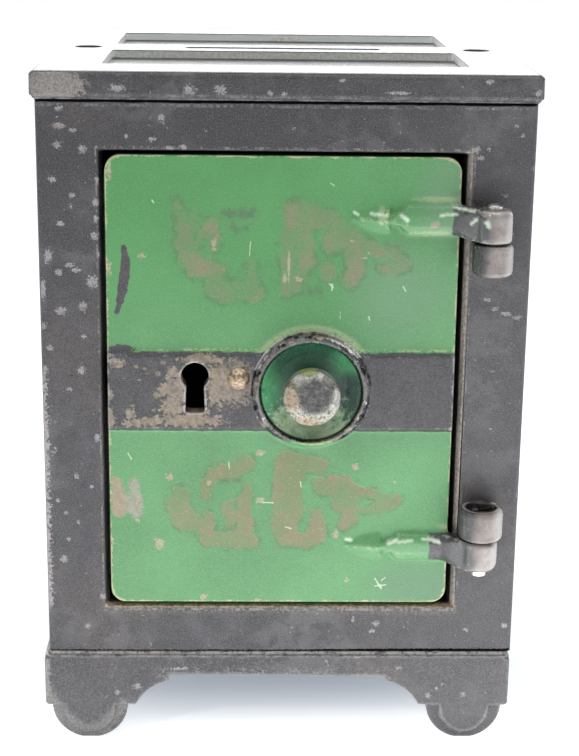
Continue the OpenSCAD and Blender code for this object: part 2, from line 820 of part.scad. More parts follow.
module door() {
    door_w = door_right - door_left;
    door_h = door_high - door_low;
    mid_x = (door_left + door_right) / 2;
    mid_z = (door_low + door_high) / 2;
    color("#5fa468") on_body() difference() {
        union() {
            translate([mid_x, 0, mid_z]) upright(door_t) round_rect(door_w, door_h, door_r);
            // raised band with sloping edges
            translate([door_left, 0, band_z]) rotate([90, 0, 90]) linear_extrude(door_w) {
                polygon([[lap, -band_w / 2], [0, -band_w / 2], [-band_proud, band_slope - band_w / 2],
                         [-band_proud, band_w / 2 - band_slope], [0, band_w / 2], [lap, band_w / 2]]);
            }
            translate([boss_x, 0, lock_z]) rotate([-90, 0, 0]) cylinder(d = boss_d, h = door_t);
            translate([boss_x, -boss_proud, lock_z]) rotate([-90, 0, 0]) {
                cylinder(d1 = boss_d - 2 * rim_slope, d2 = boss_d, h = rim_slope);
            }
            translate([boss_x, rim_slope - boss_proud, lock_z]) rotate([-90, 0, 0]) {
                cylinder(d = boss_d, h = boss_proud);
            }
            for (z = [upper_strap_z, lower_strap_z]) translate([hinge_x, 0, z]) strap();
            translate([hinge_x, -hinge_out, upper_low]) {
                knuckle(door_knuckle_d, door_knuckle_h, knuckle_r, true);
            }
            translate([hinge_x, -hinge_out, lower_low]) {
                knuckle(door_knuckle_d, door_knuckle_h, heel_r, false);
            }
        }
        // dish of the boss
        translate([boss_x, 0, lock_z]) turned_y() {
            polygon([[0, dish_deep], [floor_d / 2, dish_deep],
                     [floor_d / 2 + dish_ease, dish_deep - dish_ease_h],
                     [dish_d / 2 - dish_side, -dish_side_h], [dish_d / 2 - dish_lip, -dish_lip_h],
                     [dish_d / 2, -boss_proud], [dish_d / 2, -boss_proud - cut],
                     [0, -boss_proud - cut]]);
        }
        keyhole_cut();
        translate([boss_x, 0, lock_z]) rotate([-90, 0, 0]) {
            cylinder(r = shank_d / 2 + pin_gap, h = door_t + cut);
        }
        translate([rivet_x, -band_proud - cut, rivet_z]) rotate([-90, 0, 0]) {
            cylinder(r = rivet_d / 2 + tight, h = door_t + band_proud + 2 * cut);
        }
        translate([leaf_pin_x(), door_t - spring_pin_seat, leaf_pin_z()]) rotate([-90, 0, 0]) {
            cylinder(r = spring_pin_d / 2 + tight, h = spring_pin_seat + cut);
        }
        for (z = [upper_low, lower_low]) {
            translate([hinge_x, -hinge_out, z - cut]) {
                cylinder(r = pin_d / 2 + pin_gap, h = door_knuckle_h + 2 * cut);
            }
        }
    }
}

// Where the leaf spring bears on the bolt, and where its pin stands.
function leaf_touch_x() = boss_x + bolt_throw / 2;
function leaf_centre_z() = bolt_top + slide_gap * 2 + leaf_r + leaf_t;
function leaf_pin_x() = leaf_touch_x() + (leaf_r + leaf_t / 2) * sin(leaf_sweep / 2) + spring_pin_d / 2;
function leaf_pin_z() = leaf_centre_z() - (leaf_r + leaf_t / 2) * cos(leaf_sweep / 2);

// Eight-sided block that gives the knob its faceted front, with the face set off its axis.
module facet_block() {
    across = 1 / cos(22.5);
    hull() {
        rotate(22.5) cylinder(d = knob_d * across, h = lap, $fn = 8);
        translate([face_right, face_up, knob_chamfer - lap]) {
            rotate(22.5) cylinder(d = knob_face_d * across, h = lap, $fn = 8);
        }
    }
}

module knob() {
    back = dish_deep - slide_gap;
    length = knob_proud + back;
    tail = washer_y + washer_t;
    chamfer_at = length - knob_chamfer;
    edge_at = chamfer_at - knob_edge;
    front_d = knob_d - knob_taper;
    color("#a49d92") on_body() translate([boss_x, back, lock_z]) rotate([90, 0, 0]) {
        cylinder(d = stalk_d, h = edge_at + lap);
        translate([0, 0, edge_at]) cylinder(d1 = knob_d, d2 = front_d, h = knob_edge);
        translate([0, 0, chamfer_at]) intersection() {
            cylinder(d = front_d, h = knob_chamfer);
            facet_block();
        }
        translate([0, 0, back - tail]) cylinder(d = shank_d, h = tail - back + lap);
        translate([0, 0, back - tail]) mirror([0, 0, 1]) dome(shank_d + peen_over, peen_h);
    }
}

// Flat washer behind the door, drawn on its shank's axis.
module flat_washer(x, z, d, hole_d) {
    translate([x, washer_y, z]) rotate([-90, 0, 0]) difference() {
        cylinder(d = d, h = washer_t);
        translate([0, 0, -cut]) cylinder(r = hole_d / 2 + tight, h = washer_t + 2 * cut);
    }
}

module knob_washer() {
    color("#8d857b") on_body() flat_washer(boss_x, lock_z, knob_washer_d, shank_d);
}

module guide_washer() {
    color("#8d857b") on_body() flat_washer(rivet_x, rivet_z, rivet_washer_d, rivet_d);
}

module guide_rivet() {
    tail = washer_y + washer_t;
    color("#a0765a") on_body() translate([rivet_x, 0, rivet_z]) rotate([90, 0, 0]) {
        translate([0, 0, band_proud]) dome(rivet_head_d, rivet_head_h);
        translate([0, 0, -tail]) cylinder(d = rivet_d, h = tail + band_proud + lap);
        translate([0, 0, -tail]) mirror([0, 0, 1]) dome(rivet_d + rivet_peen_over, peen_h);
    }
}

// Slot in the bolt round a shank: the bolt is drawn back, so the shank is at the slot's left end.
module bolt_slot(x, z, d) {
    w = d + 4 * slide_gap;
    translate([x, z]) circle(d = w);
    translate([x + bolt_throw, z]) circle(d = w);
    translate([x, z - w / 2]) square([bolt_throw, w]);
}

// Flat bolt: nose on the left, arch over the keyhole for the key's bit, two guide slots.
module lock_bolt() {
    outer_r = arch_r + arch_t;
    color("#6f6a64") on_body() translate([0, bolt_y, 0]) upright(bolt_t) difference() {
        union() {
            translate([nose_x, bolt_z - bolt_w / 2]) square([bolt_end - nose_x, bolt_w]);
            translate([arch_x, key_z]) circle(outer_r);
            translate([arch_x - outer_r, lock_z - leg_drop]) square([2 * outer_r, leg_drop + key_up]);
        }
        translate([arch_x, key_z]) circle(arch_r);
        translate([arch_x - arch_r, lock_z - leg_drop - cut]) square([2 * arch_r, leg_drop + key_up + cut]);
        bolt_slot(rivet_x, rivet_z, rivet_d);
        bolt_slot(boss_x, lock_z, shank_d);
    }
}

// Bowed leaf spring: it is coiled round its pin and bears on the bolt's upper edge.
module bolt_spring() {
    touch = [leaf_touch_x(), leaf_centre_z()];
    outer = leaf_r + leaf_t;
    reach = outer * sin(leaf_sweep / 2);
    pin = [leaf_pin_x(), leaf_pin_z()];
    eye_r = spring_pin_d / 2 + slide_gap;
    color("#7d7972") on_body() translate([0, bolt_y, 0]) upright(leaf_w) difference() {
        union() {
            intersection() {
                translate(touch) circle(outer, $fn = 180);
                translate([touch[0] - reach, touch[1] - outer - cut]) square([2 * reach, outer]);
            }
            translate(pin) circle(eye_r + leaf_t);
        }
        translate(touch) circle(leaf_r, $fn = 180);
        translate(pin) circle(eye_r);
    }
}

module spring_pin() {
    color("#8d857b") on_body() translate([leaf_pin_x(), door_t - spring_pin_seat, leaf_pin_z()]) {
        rotate([-90, 0, 0]) {
            cylinder(d = spring_pin_d, h = spring_pin_seat + slide_gap + leaf_w + lap);
            translate([0, 0, spring_pin_seat + slide_gap + leaf_w + lap]) {
                dome(spring_pin_d + peen_over, head_part * peen_h);
            }
        }
    }
}

base_plate();
front_frame();
left_side();
right_side();
back_panel();
top_plate();
left_tie_screw();
right_tie_screw();
left_tie_nut();
right_tie_nut();
upper_hinge_pin();
lower_hinge_pin();
door();
knob();
knob_washer();
lock_bolt();
guide_rivet();
guide_washer();
bolt_spring();
spring_pin();
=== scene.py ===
import math
import numpy as np

import bpy
from mathutils import Euler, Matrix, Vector


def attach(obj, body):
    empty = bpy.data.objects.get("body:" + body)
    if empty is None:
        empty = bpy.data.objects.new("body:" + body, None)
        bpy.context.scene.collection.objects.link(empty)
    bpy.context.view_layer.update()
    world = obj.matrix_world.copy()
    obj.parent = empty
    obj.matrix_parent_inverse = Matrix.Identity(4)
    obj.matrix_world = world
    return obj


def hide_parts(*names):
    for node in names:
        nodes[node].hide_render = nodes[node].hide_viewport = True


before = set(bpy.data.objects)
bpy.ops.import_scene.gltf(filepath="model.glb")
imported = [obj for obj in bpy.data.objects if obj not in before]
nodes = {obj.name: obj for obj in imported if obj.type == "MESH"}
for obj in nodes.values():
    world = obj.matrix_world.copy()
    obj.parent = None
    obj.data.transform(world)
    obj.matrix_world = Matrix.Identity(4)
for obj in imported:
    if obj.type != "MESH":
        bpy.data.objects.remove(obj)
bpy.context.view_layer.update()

# Camera: where the photograph was taken from, worked out from the bank's own corners.
# It stands in front of the bank, a little above it, and looks slightly down.
CAMERA_AT = (-0.0079, -0.38665, 0.1807)
CAMERA_PITCH, CAMERA_YAW, CAMERA_ROLL = 16.14, -1.52, 0.76
CAMERA_LENS, SENSOR_WIDTH = 81.55, 36
NEAREST, FARTHEST = 0.01, 40
camera = bpy.data.objects.new("camera", bpy.data.cameras.new("camera"))
bpy.context.scene.collection.objects.link(camera)
camera.data.lens = CAMERA_LENS
camera.data.sensor_width = SENSOR_WIDTH
camera.data.clip_start = NEAREST
camera.data.clip_end = FARTHEST
turn_z = Euler((0, 0, math.radians(CAMERA_YAW))).to_matrix()
turn_x = Euler((math.radians(90 - CAMERA_PITCH), 0, 0)).to_matrix()
turn_roll = Euler((0, 0, math.radians(CAMERA_ROLL))).to_matrix()
camera.rotation_euler = (turn_z @ turn_x @ turn_roll).to_euler()
camera.location = CAMERA_AT
bpy.context.scene.camera = camera
bpy.context.scene.view_settings.view_transform = "Standard"


# Castings of the case: base, front, sides, back and top, of cast iron painted black, now chipped on
# the flats and rubbed along the edges. Two tie screws hold them together. Each is a copy of the bare
# casting with its long sharp edges rounded, as a mould leaves them.

# materials work in millimetres, MM to the metre, and strokes closer than MELT run together
MM, MELT = 1000, 0.8


class Value:
    """A number, vector or colour in a material. Arithmetic on it adds nodes."""

    def __init__(self, tree, socket):
        self.tree = tree
        self.socket = socket

    def node(self, kind, settings=None, inputs=None, out=0):
        """Adds a node: its type, its settings, the values or links of its sockets, and which output."""
        made = self.tree.nodes.new(kind)
        for key, value in (settings or {}).items():
            setattr(made, key, value)
        for key, value in (inputs or {}).items():
            if isinstance(value, Value):
                self.tree.links.new(value.socket, made.inputs[key])
            else:
                made.inputs[key].default_value = value
        return Value(self.tree, made.outputs[out])

    def math(self, operation, a, b=0.0):
        return self.node("ShaderNodeMath", {"operation": operation}, {0: a, 1: b})

    def __add__(self, other):
        return self.math("ADD", self, other)

    def __radd__(self, other):
        return self.math("ADD", other, self)

    def __sub__(self, other):
        return self.math("SUBTRACT", self, other)

    def __rsub__(self, other):
        return self.math("SUBTRACT", other, self)

    def __mul__(self, other):
        return self.math("MULTIPLY", self, other)

    def __rmul__(self, other):
        return self.math("MULTIPLY", other, self)

    def either(self, other):
        """The larger of two values: one mask joined to another."""
        return self.math("MAXIMUM", self, other)

    def rise(self, low, high):
        """0 below low, 1 above high, smooth between."""
        return self.node("ShaderNodeMapRange", {"interpolation_type": "SMOOTHSTEP"},
                         {"Value": self, "From Min": low, "From Max": high})

    def within(self, low, high, soft):
        """1 between low and high, with soft borders."""
        return self.rise(low - soft, low + soft) * (1 - self.rise(high - soft, high + soft))

    def noise(self, scale, detail=3.0, rough=0.55):
        """Cloudy pattern on a position in millimetres; scale is in waves per millimetre."""
        return self.node("ShaderNodeTexNoise", None,
                         {"Vector": self, "Scale": scale, "Detail": detail, "Roughness": rough})

    def vector(self, operation, other, out=0):
        return self.node("ShaderNodeVectorMath", {"operation": operation}, {0: self, 1: other}, out)

    def part(self, axis):
        return self.node("ShaderNodeSeparateXYZ", None, {"Vector": self}, "XYZ".index(axis))

    def away(self, x, z):
        """Distance from an axis that runs front to back, in millimetres."""
        flat = self.vector("SUBTRACT", (x, 0, z)).vector("MULTIPLY", (1, 0, 1))
        return flat.vector("LENGTH", (0, 0, 0), 1)

    def spots(self, places):
        """1 in the middle of each upright ellipse (x, z, half width, half height), 0 at its edge."""
        found = None
        for x, z, rx, rz in places:
            near = self.vector("SUBTRACT", (x, 0, z)).vector("MULTIPLY", (1 / rx, 0, 1 / rz))
            one = 1 - near.vector("LENGTH", (0, 0, 0), 1)
            found = found.either(one) if found else one
        return found

    def strokes(self, paths):
        """Depth in millimetres inside round-ended strokes (x, z to x, z, half width)."""
        flat = self.vector("MULTIPLY", (1, 0, 1))
        found = None
        for x1, z1, x2, z2, half in paths:
            run = (x2 - x1, 0, z2 - z1)
            square = run[0] ** 2 + run[2] ** 2
            rel = flat.vector("SUBTRACT", (x1, 0, z1))
            along = rel.vector("DOT_PRODUCT", (run[0] / square, 0, run[2] / square), 1)
            along = self.node("ShaderNodeClamp", None, {"Value": along})
            foot = self.node("ShaderNodeVectorMath", {"operation": "SCALE"}, {0: run, "Scale": along})
            one = half - rel.vector("DISTANCE", foot, 1)
            if found:
                one = self.node("ShaderNodeMath", {"operation": "SMOOTH_MAX"}, {0: found, 1: one, 2: MELT})
            found = one
        return found


def mixed(amount, low, high):
    """Colour low where amount is 0 and high where it is 1."""
    low, high = (colour if isinstance(colour, Value) else (*colour, 1) for colour in (low, high))
    return amount.node("ShaderNodeMix", {"data_type": "RGBA"}, {0: amount, 6: low, 7: high}, 2)


def new_material(name):
    """A fresh material, its shader node and the position on the piece in millimetres."""
    material = bpy.data.materials.new(name)
    material.use_nodes = True
    tree = material.node_tree
    place = Value(tree, None).node("ShaderNodeTexCoord", None, None, "Object")
    return material, tree.nodes["Principled BSDF"], place.vector("MULTIPLY", (MM, MM, MM))


def feed(shader, **values):
    """Sets or links inputs of the shader, such as Base_Color."""
    for key, value in values.items():
        socket = shader.inputs[key.replace("_", " ")]
        if isinstance(value, Value):
            value.tree.links.new(value.socket, socket)
        else:
            socket.default_value = value


def edges_of(at):
    """1 along the edges of a piece, 0 on its flats."""
    soft = at.node("ShaderNodeBevel", {"samples": EDGE_SAMPLES}, {"Radius": EDGE_REACH})
    true = at.node("ShaderNodeNewGeometry", None, None, 1)
    return 1 - soft.vector("DOT_PRODUCT", true, 1)


def bumped(shader, height, distance):
    """Feeds a height pattern to the shader's normal. Distance is in metres."""
    feed(shader, Normal=height.node("ShaderNodeBump", None, {"Height": height, "Distance": distance}))


# sizes in metres, and CRISP and KEEN, the shares of the bevel that long and upper edges get
EDGE_REACH, EDGE_SAMPLES = 0.0009, 4
CASTING_BEVEL, BEVEL_STEPS = 0.0009, 3
CRISP, KEEN = 0.35, 0.1
LONG_EDGE = 0.002
MERGE = 0.000005
FLARE = 0.0007
FLARE_AT = Vector((0.0364, -0.04345, 0))
FLARE_NEAR = 0.00005
HINGE_AT, BORE_EDGE = Vector((0.0415, -0.05075, 0)), 0.003
PROUD_OF_FRAME, PROUD_OF_TOP, UPPER_FACE = -0.048, -0.047, 0.1446
# angles: flatter edges are dissolved, sharper ones get a bevel, and flatter ones are shaded smooth
FLAT, SHARP, SMOOTH = math.radians(0.6), math.radians(50), math.radians(35)


def copy_of(node, name, material):
    """Merged copy of a CAD node, active and selected."""
    mesh = nodes[node].data.copy()
    mesh.name = name
    mesh.materials.clear()
    mesh.materials.append(material)
    piece = bpy.data.objects.new(name, mesh)
    bpy.context.scene.collection.objects.link(piece)
    bpy.ops.object.select_all(action="DESELECT")
    piece.select_set(True)
    bpy.context.view_layer.objects.active = piece
    bpy.ops.object.mode_set(mode="EDIT")
    bpy.ops.mesh.select_all(action="SELECT")
    bpy.ops.mesh.remove_doubles(threshold=MERGE)
    bpy.ops.object.mode_set(mode="OBJECT")
    return piece


def flare():
    """Slopes the right side of the door opening more, as its pattern had to leave the sand."""
    mesh = bpy.context.object.data
    bpy.ops.mesh.select_all(action="DESELECT")
    bpy.ops.object.mode_set(mode="OBJECT")
    for vertex in mesh.vertices:
        vertex.select = (vertex.co - FLARE_AT).xy.length < FLARE_NEAR
    bpy.ops.object.mode_set(mode="EDIT")
    bpy.ops.transform.translate(value=(-FLARE, 0, 0))


def casting(node, name, material, shape=None, rounded=None, keen=None):
    """Copy of a casting of the case with its long sharp edges eased: more at rounded, less at keen.

    shape changes the copy in edit mode first. rounded and keen say of a point whether it counts.
    """
    piece = copy_of(node, name, material)
    mesh = piece.data
    bpy.ops.object.mode_set(mode="EDIT")
    bpy.ops.mesh.dissolve_limited(angle_limit=FLAT)
    if shape:
        shape()
    bpy.ops.mesh.select_all(action="DESELECT")
    bpy.ops.mesh.select_mode(type="EDGE")
    bpy.ops.mesh.edges_select_sharp(sharpness=SHARP)
    bpy.ops.object.mode_set(mode="OBJECT")
    weights = mesh.attributes.new("bevel_weight_edge", "FLOAT", "EDGE")
    for edge in mesh.edges:
        a, b = (mesh.vertices[i].co for i in edge.vertices)
        if edge.select and rounded and rounded(a) and rounded(b):
            weights.data[edge.index].value = 1.0
        elif edge.select and keen and keen(a) and keen(b):
            weights.data[edge.index].value = KEEN
        elif edge.select and (a - b).length > LONG_EDGE:
            weights.data[edge.index].value = CRISP
    ceiling = max(vertex.co.z for vertex in mesh.vertices)
    bevel = piece.modifiers.new("bevel", "BEVEL")
    bevel.limit_method = "WEIGHT"
    bevel.width = CASTING_BEVEL
    bevel.segments = BEVEL_STEPS
    bevel.use_clamp_overlap = False
    bpy.ops.object.modifier_apply(modifier="bevel")
    # where a wide and a narrow bevel meet, the corner is held at the casting's own height
    for vertex in piece.data.vertices:
        vertex.co.z = min(vertex.co.z, ceiling)
    bpy.ops.object.shade_smooth_by_angle(angle=SMOOTH)
    flats = piece.modifiers.new("flats", "WEIGHTED_NORMAL")
    flats.keep_sharp = True
    bpy.ops.object.modifier_apply(modifier="flats")
    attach(piece, "case")
    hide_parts(node)


def on_knuckles(at):
    """Whether a point is on the ends of the frame's hinge knuckles, but not at their bores."""
    return at.y < PROUD_OF_FRAME and (at - HINGE_AT).xy.length > BORE_EDGE


def on_top_front(at):
    """Whether a point is on the front of the top plate."""
    return at.y < PROUD_OF_TOP


def on_top_face(at):
    """Whether a point is on the upper face of the top plate."""
    return at.z > UPPER_FACE


# linear colours: the black paint, painted shade above, painted light below and on the right, its haze and
# specks, the iron below it, and painted shade in a gap
JAPAN, JAPAN_DUSTY, JAPAN_GRAIN = (0.004, 0.0033, 0.0072), (0.017, 0.0155, 0.0215), (0.048, 0.044, 0.053)
JAPAN_SHADED_UPPER, JAPAN_BROWN = (0.003, 0.0025, 0.0065), (0.085, 0.064, 0.054)
JAPAN_LIT_LOW, JAPAN_LIT_RIGHT, HAZE_CLOUD = (0.135, 0.133, 0.138), (0.098, 0.096, 0.102), (0.105, 0.102, 0.108)
SPECK_PALE, SPECK_DARK = (0.16, 0.155, 0.165), (0.002, 0.0018, 0.003)
IRON_DARK, IRON_PALE, IRON_RUSTY = (0.17, 0.16, 0.16), (0.35, 0.335, 0.335), (0.24, 0.17, 0.15)
GAP_SHADE = (0.002, 0.002, 0.003)
PAINT_IOR, PAINT_RELIEF = 1.6, 0.00028


def black_paint(name, worn, chips, gloss, places=None, front=None, extra=None):
    """Black paint over iron. worn: rubbing of edges; chips: flaking; places: bare spots of the front.

    extra adds what one casting alone has. It returns the colour and a mask of the gaps, where shade is
    painted black.
    """
    material, shader, at = new_material(name)
    x, y, z = (at.part(axis) for axis in "XYZ")
    upper = z.rise(92, 132)
    grain = at.noise(2.2, 4.0, 0.75)
    fine = at.noise(3.9, 3.0, 0.75)
    crumb = at.noise(1.5, 4.0, 0.65)
    bits = at.noise(3.2, 3.0, 0.7)
    patch = at.noise(0.2, 4.0, 0.65)
    cloud = at.noise(0.05, 4.0)
    # flakes in clusters, and a scatter of specks
    cluster = at.noise(0.05, 2.0).rise(0.42, 0.68)
    flakes = (at.noise(0.55, 3.0, 0.6) + (bits - 0.5) * 0.4 + cluster * 0.05 + chips).rise(0.71, 0.8)
    specks = (bits + cluster * 0.07 + chips).rise(0.69, 0.78) * 0.6
    edge = edges_of(at)
    rubbed = (edge * 2.2 + (at.noise(0.45, 5.0, 0.7) - 0.5) * 2.4 + worn).rise(0.35, 0.75)
    rubbed = rubbed * edge.rise(0.01, 0.05)
    bare = flakes.either(specks).either(rubbed * 0.8)
    if places:
        spots = (at.spots(places) + (bits - 0.5) * 1.5 + (crumb - 0.5) * 2.4 + 0.05).rise(0.12, 0.55)
        bare = bare.either(spots * (1 - y.rise(front - 0.2, front + 0.2)) * 0.85)
    # dusty and grained and specked all over, darker above as painted shade, lighter below and on the right
    # as painted light
    paint = mixed(patch.rise(0.38, 0.62), JAPAN, JAPAN_DUSTY)
    paint = mixed(grain.rise(0.44, 0.66) * (0.3 + patch.rise(0.36, 0.6) * 0.6), paint, JAPAN_GRAIN)
    paint = mixed(upper * 0.78, paint, JAPAN_SHADED_UPPER)
    paint = mixed((1 - z.rise(4, 22)) * 0.42, paint, JAPAN_LIT_LOW)
    paint = mixed(x.rise(-10, 50) * 0.22, paint, JAPAN_LIT_RIGHT)
    paint = mixed(fine.rise(0.52, 0.64) * (0.6 - upper * 0.12), paint, SPECK_PALE)
    paint = mixed((1 - fine.rise(0.35, 0.47)) * 0.85, paint, SPECK_DARK)
    paint = mixed(cloud.rise(0.48, 0.62) * patch.rise(0.42, 0.6) * 0.38, paint, HAZE_CLOUD)
    brown = at.noise(0.04, 3.0).rise(0.54, 0.66) * grain.rise(0.4, 0.6)
    paint = mixed(brown * 0.45, paint, JAPAN_BROWN)
    iron = mixed(bits.rise(0.38, 0.62), IRON_DARK, IRON_PALE)
    iron = mixed(at.noise(0.12, 3.0).rise(0.52, 0.68) * 0.35, iron, IRON_RUSTY)
    colour = mixed(bare, paint, iron)
    height = grain * 0.7 + fine * 0.5 - bare * 0.4
    knuckled = 1 - y.rise(-49.0, -48.2)
    if extra:
        colour, gap_shade = extra(at, colour, crumb)
        # painted shade: a gap is black and metallic, so it reflects nothing
        feed(shader, Metallic=gap_shade)
        colour = mixed(gap_shade, colour, GAP_SHADE)
    feed(shader, Base_Color=colour, IOR=PAINT_IOR)
    rough = gloss + (grain - 0.5) * 0.4 + (patch - 0.5) * 0.3 + bare * 0.14 - knuckled * 0.16
    feed(shader, Roughness=rough)
    bumped(shader, height, PAINT_RELIEF)
    return material


KNUCKLE_BROWN, KNUCKLE_GREY = (0.2, 0.165, 0.145), (0.3, 0.265, 0.245)
KNUCKLE_HIGHLIGHT, KNUCKLE_DIRT = (0.42, 0.4, 0.385), (0.11, 0.1, 0.095)


def knuckle_colour(x, soft, crumb, share, shaded):
    """Bare iron of a hinge knuckle, with a painted highlight on the right and a share of painted shade on
    the left.
    """
    iron = mixed(soft.rise(0.35, 0.65), KNUCKLE_BROWN, KNUCKLE_GREY)
    iron = mixed(x.rise(43.0, 44.9), iron, KNUCKLE_HIGHLIGHT)
    iron = mixed((1 - x.rise(39.4, 42.4)) * share, iron, shaded)
    return mixed(crumb.rise(0.56, 0.7) * 0.5, iron, KNUCKLE_DIRT)


KNUCKLE_SHADE = (0.085, 0.076, 0.07)
STRIP_DARK, STRIP_PALE = (0.27, 0.24, 0.24), (0.4, 0.37, 0.37)
REVEAL_DARK, REVEAL_TAN_LIT = (0.16, 0.135, 0.12), (0.4, 0.35, 0.31)
LEDGE_DARK, LEDGE_BROWN_LIT = (0.16, 0.125, 0.09), (0.5, 0.4, 0.29)
RIGHT_SHADOW, LOW_SHADOW = (0.006, 0.005, 0.008), (0.006, 0.005, 0.006)
SILL_BROWN, RIM_GREY, LIT_LINE = (0.17, 0.145, 0.11), (0.24, 0.22, 0.19), (0.17, 0.165, 0.17)


def frame_extras(at, colour, crumb):
    """Bare brown knuckles, door opening with painted light and shadow, worn outer edge, and painted shade in
    the seams above and below.
    """
    x, y, z = (at.part(axis) for axis in "XYZ")
    front = 1 - y.rise(-46.2, -45.8)
    soft = at.noise(0.3, 3.0)
    knuckle = (x + (soft - 0.5) * 3).rise(38.9, 40.6) * (1 - y.rise(-48.2, -47.6))
    colour = mixed(knuckle * 0.9, colour, knuckle_colour(x, soft, crumb, 0.55, KNUCKLE_SHADE))
    strip = (-48.7 - x + (crumb - 0.5) * 4.5).rise(0.0, 0.7) * z.within(31, 83, 2) * front
    colour = mixed(strip * 0.75, colour, mixed(crumb.rise(0.4, 0.6), STRIP_DARK, STRIP_PALE))
    # walls of the opening: painted shadow at the back, and rubbed metal at the front painted pale as light
    inside = x.within(-37.9, 37.6, 0.05) * z.within(30.7, 129.5, 0.05)
    reveal = inside * y.rise(-46.7, -46.5) * (1 - y.rise(-43.6, -43.4))
    right = reveal * x.rise(35.4, 35.6)
    low = reveal * (1 - z.rise(31.4, 32.0))
    tan = mixed(crumb.rise(0.35, 0.6), REVEAL_DARK, REVEAL_TAN_LIT)
    tan = mixed((y + (crumb - 0.5) * 1.2).rise(-45.3, -44.8), tan, RIGHT_SHADOW)
    colour = mixed(right, colour, tan)
    brown = mixed(crumb.rise(0.38, 0.62), LEDGE_DARK, LEDGE_BROWN_LIT)
    brown = mixed((y + (crumb - 0.5) * 2.4).rise(-45.2, -44.4), brown, LOW_SHADOW)
    colour = mixed(low, colour, brown)
    # the face next to the opening, and a lit line below the top
    rim = (1 - inside) * x.within(-38.2, 37.9, 0.1) * z.within(30.2, 130.0, 0.1) * front
    sill = (1 - z.rise(30.0, 30.8)) * z.rise(28.6, 30.2) * x.within(-37.9, 37.9, 0.3) * front
    rim = rim * (crumb + (soft - 0.5) * 0.9 + (1 - z.rise(33, 40)) * 0.05).rise(0.5, 0.62)
    colour = mixed(sill * crumb.rise(0.42, 0.6) * 0.5, colour, SILL_BROWN)
    colour = mixed(rim * 0.65, colour, RIM_GREY)
    lit = z.within(137.8, 138.4, 0.15) * (crumb + (soft - 0.5) * 0.7).rise(0.44, 0.62) * front
    colour = mixed(lit * 0.6, colour, LIT_LINE)
    # painted shade: the seams under the top plate and above the base are black
    seam = (z + (soft - 0.5) * 0.5).rise(138.55, 138.7)
    joint = z - x.rise(-10, 30) * 0.35 + (crumb - 0.5) * 0.8
    return colour, seam.either(1 - joint.rise(20.88, 21.08)) * front


PATCH_DARK, PATCH_TAN, LIP_GREY = (0.13, 0.115, 0.105), (0.27, 0.245, 0.23), (0.17, 0.16, 0.165)
WALL_REFLECTION_GREY, WALL_REFLECTION_PALE, WALL_REFLECTION_REAR = (0.5, 0.53, 0.49), (0.68, 0.71, 0.66), (0.76, 0.8, 0.77)
WALL_GILT, WALL_REFLECTION_END = (0.52, 0.44, 0.26), (0.86, 0.88, 0.86)


def top_extras(at, colour, crumb):
    """The front is worn at its left end and lower edge; the walls of the sunk panels are painted pale as a
    reflection.
    """
    x, y, z = (at.part(axis) for axis in "XYZ")
    front = 1 - y.rise(-47.3, -46.9)
    patch = (at.spots([(-45.9, 141.9, 7.2, 3.4)]) + (crumb - 0.5) * 1.0).rise(0.02, 0.26) * front
    tan = mixed(at.noise(2.4, 3.0, 0.7).rise(0.35, 0.65), PATCH_DARK, PATCH_TAN)
    colour = mixed(patch * 0.85, colour, tan)
    lip = (1 - z.rise(139.9, 140.7)) * (crumb + (at.noise(0.25, 3.0) - 0.5) * 0.8).rise(0.44, 0.62)
    colour = mixed(lip * front * 0.6, colour, LIP_GREY)
    # painted reflection: the far and end walls of the sunk panels are pale, with a little gilt
    far = y.within(-3.9, -3.1, 0.1).either(y.within(40.2, 41.0, 0.1)) * x.within(-38.2, 38.2, 0.1)
    ends = x.within(-38.1, -37.3, 0.1).either(x.within(37.3, 38.1, 0.1)) * y.within(-33.4, 41.1, 0.1)
    sunk = (1 - z.rise(144.5, 144.7)) * z.rise(143.05, 143.2)
    wall_reflection = mixed(crumb.rise(0.35, 0.65), WALL_REFLECTION_GREY, WALL_REFLECTION_PALE)
    wall_reflection = mixed(y.rise(30, 35), wall_reflection, WALL_REFLECTION_REAR)
    gilt = at.spots([(1.5, 143.2, 4.5, 0.9)]).rise(0, 0.1) * crumb.rise(0.5, 0.56)
    colour = mixed(far * sunk * 0.9, colour, mixed(gilt * 0.6, wall_reflection, WALL_GILT))
    colour = mixed(ends * sunk * 0.95, colour, WALL_REFLECTION_END)
    # painted shade: the front's lower edge, over the seam, is black
    return colour, front * (1 - z.rise(139.55, 139.7))


# round-ended strokes (x, z to x, z, half width), in millimetres seen from the front
FOOT_LEFT = [
    (-51.2, 12.4, -50.1, 9, 1.3), (-50.1, 9, -48.2, 5.6, 1.6), (-48.2, 5.6, -44.9, 2.6, 1.8),
    (-44.9, 2.6, -41.6, 1.4, 1.6), (-41.6, 1.4, -38.2, 2.8, 1.6), (-38.2, 2.8, -35.6, 6.1, 1.4),
    (-35.6, 6.1, -34.1, 8.2, 1)]
FOOT_RIGHT = [
    (35, 7.8, 35.6, 5.1, 0.3), (35.6, 5.1, 37.2, 2.9, 0.3), (37.2, 2.9, 39.9, 1.7, 0.3),
    (39.9, 1.7, 42.7, 2.4, 0.4), (42.7, 2.4, 44.6, 4.4, 0.3), (44.6, 4.4, 45.4, 6.6, 0.3)]
FOOT_DARK, FOOT_PALE, BEAD_PALE = (0.14, 0.13, 0.125), (0.32, 0.3, 0.29), (0.36, 0.345, 0.335)


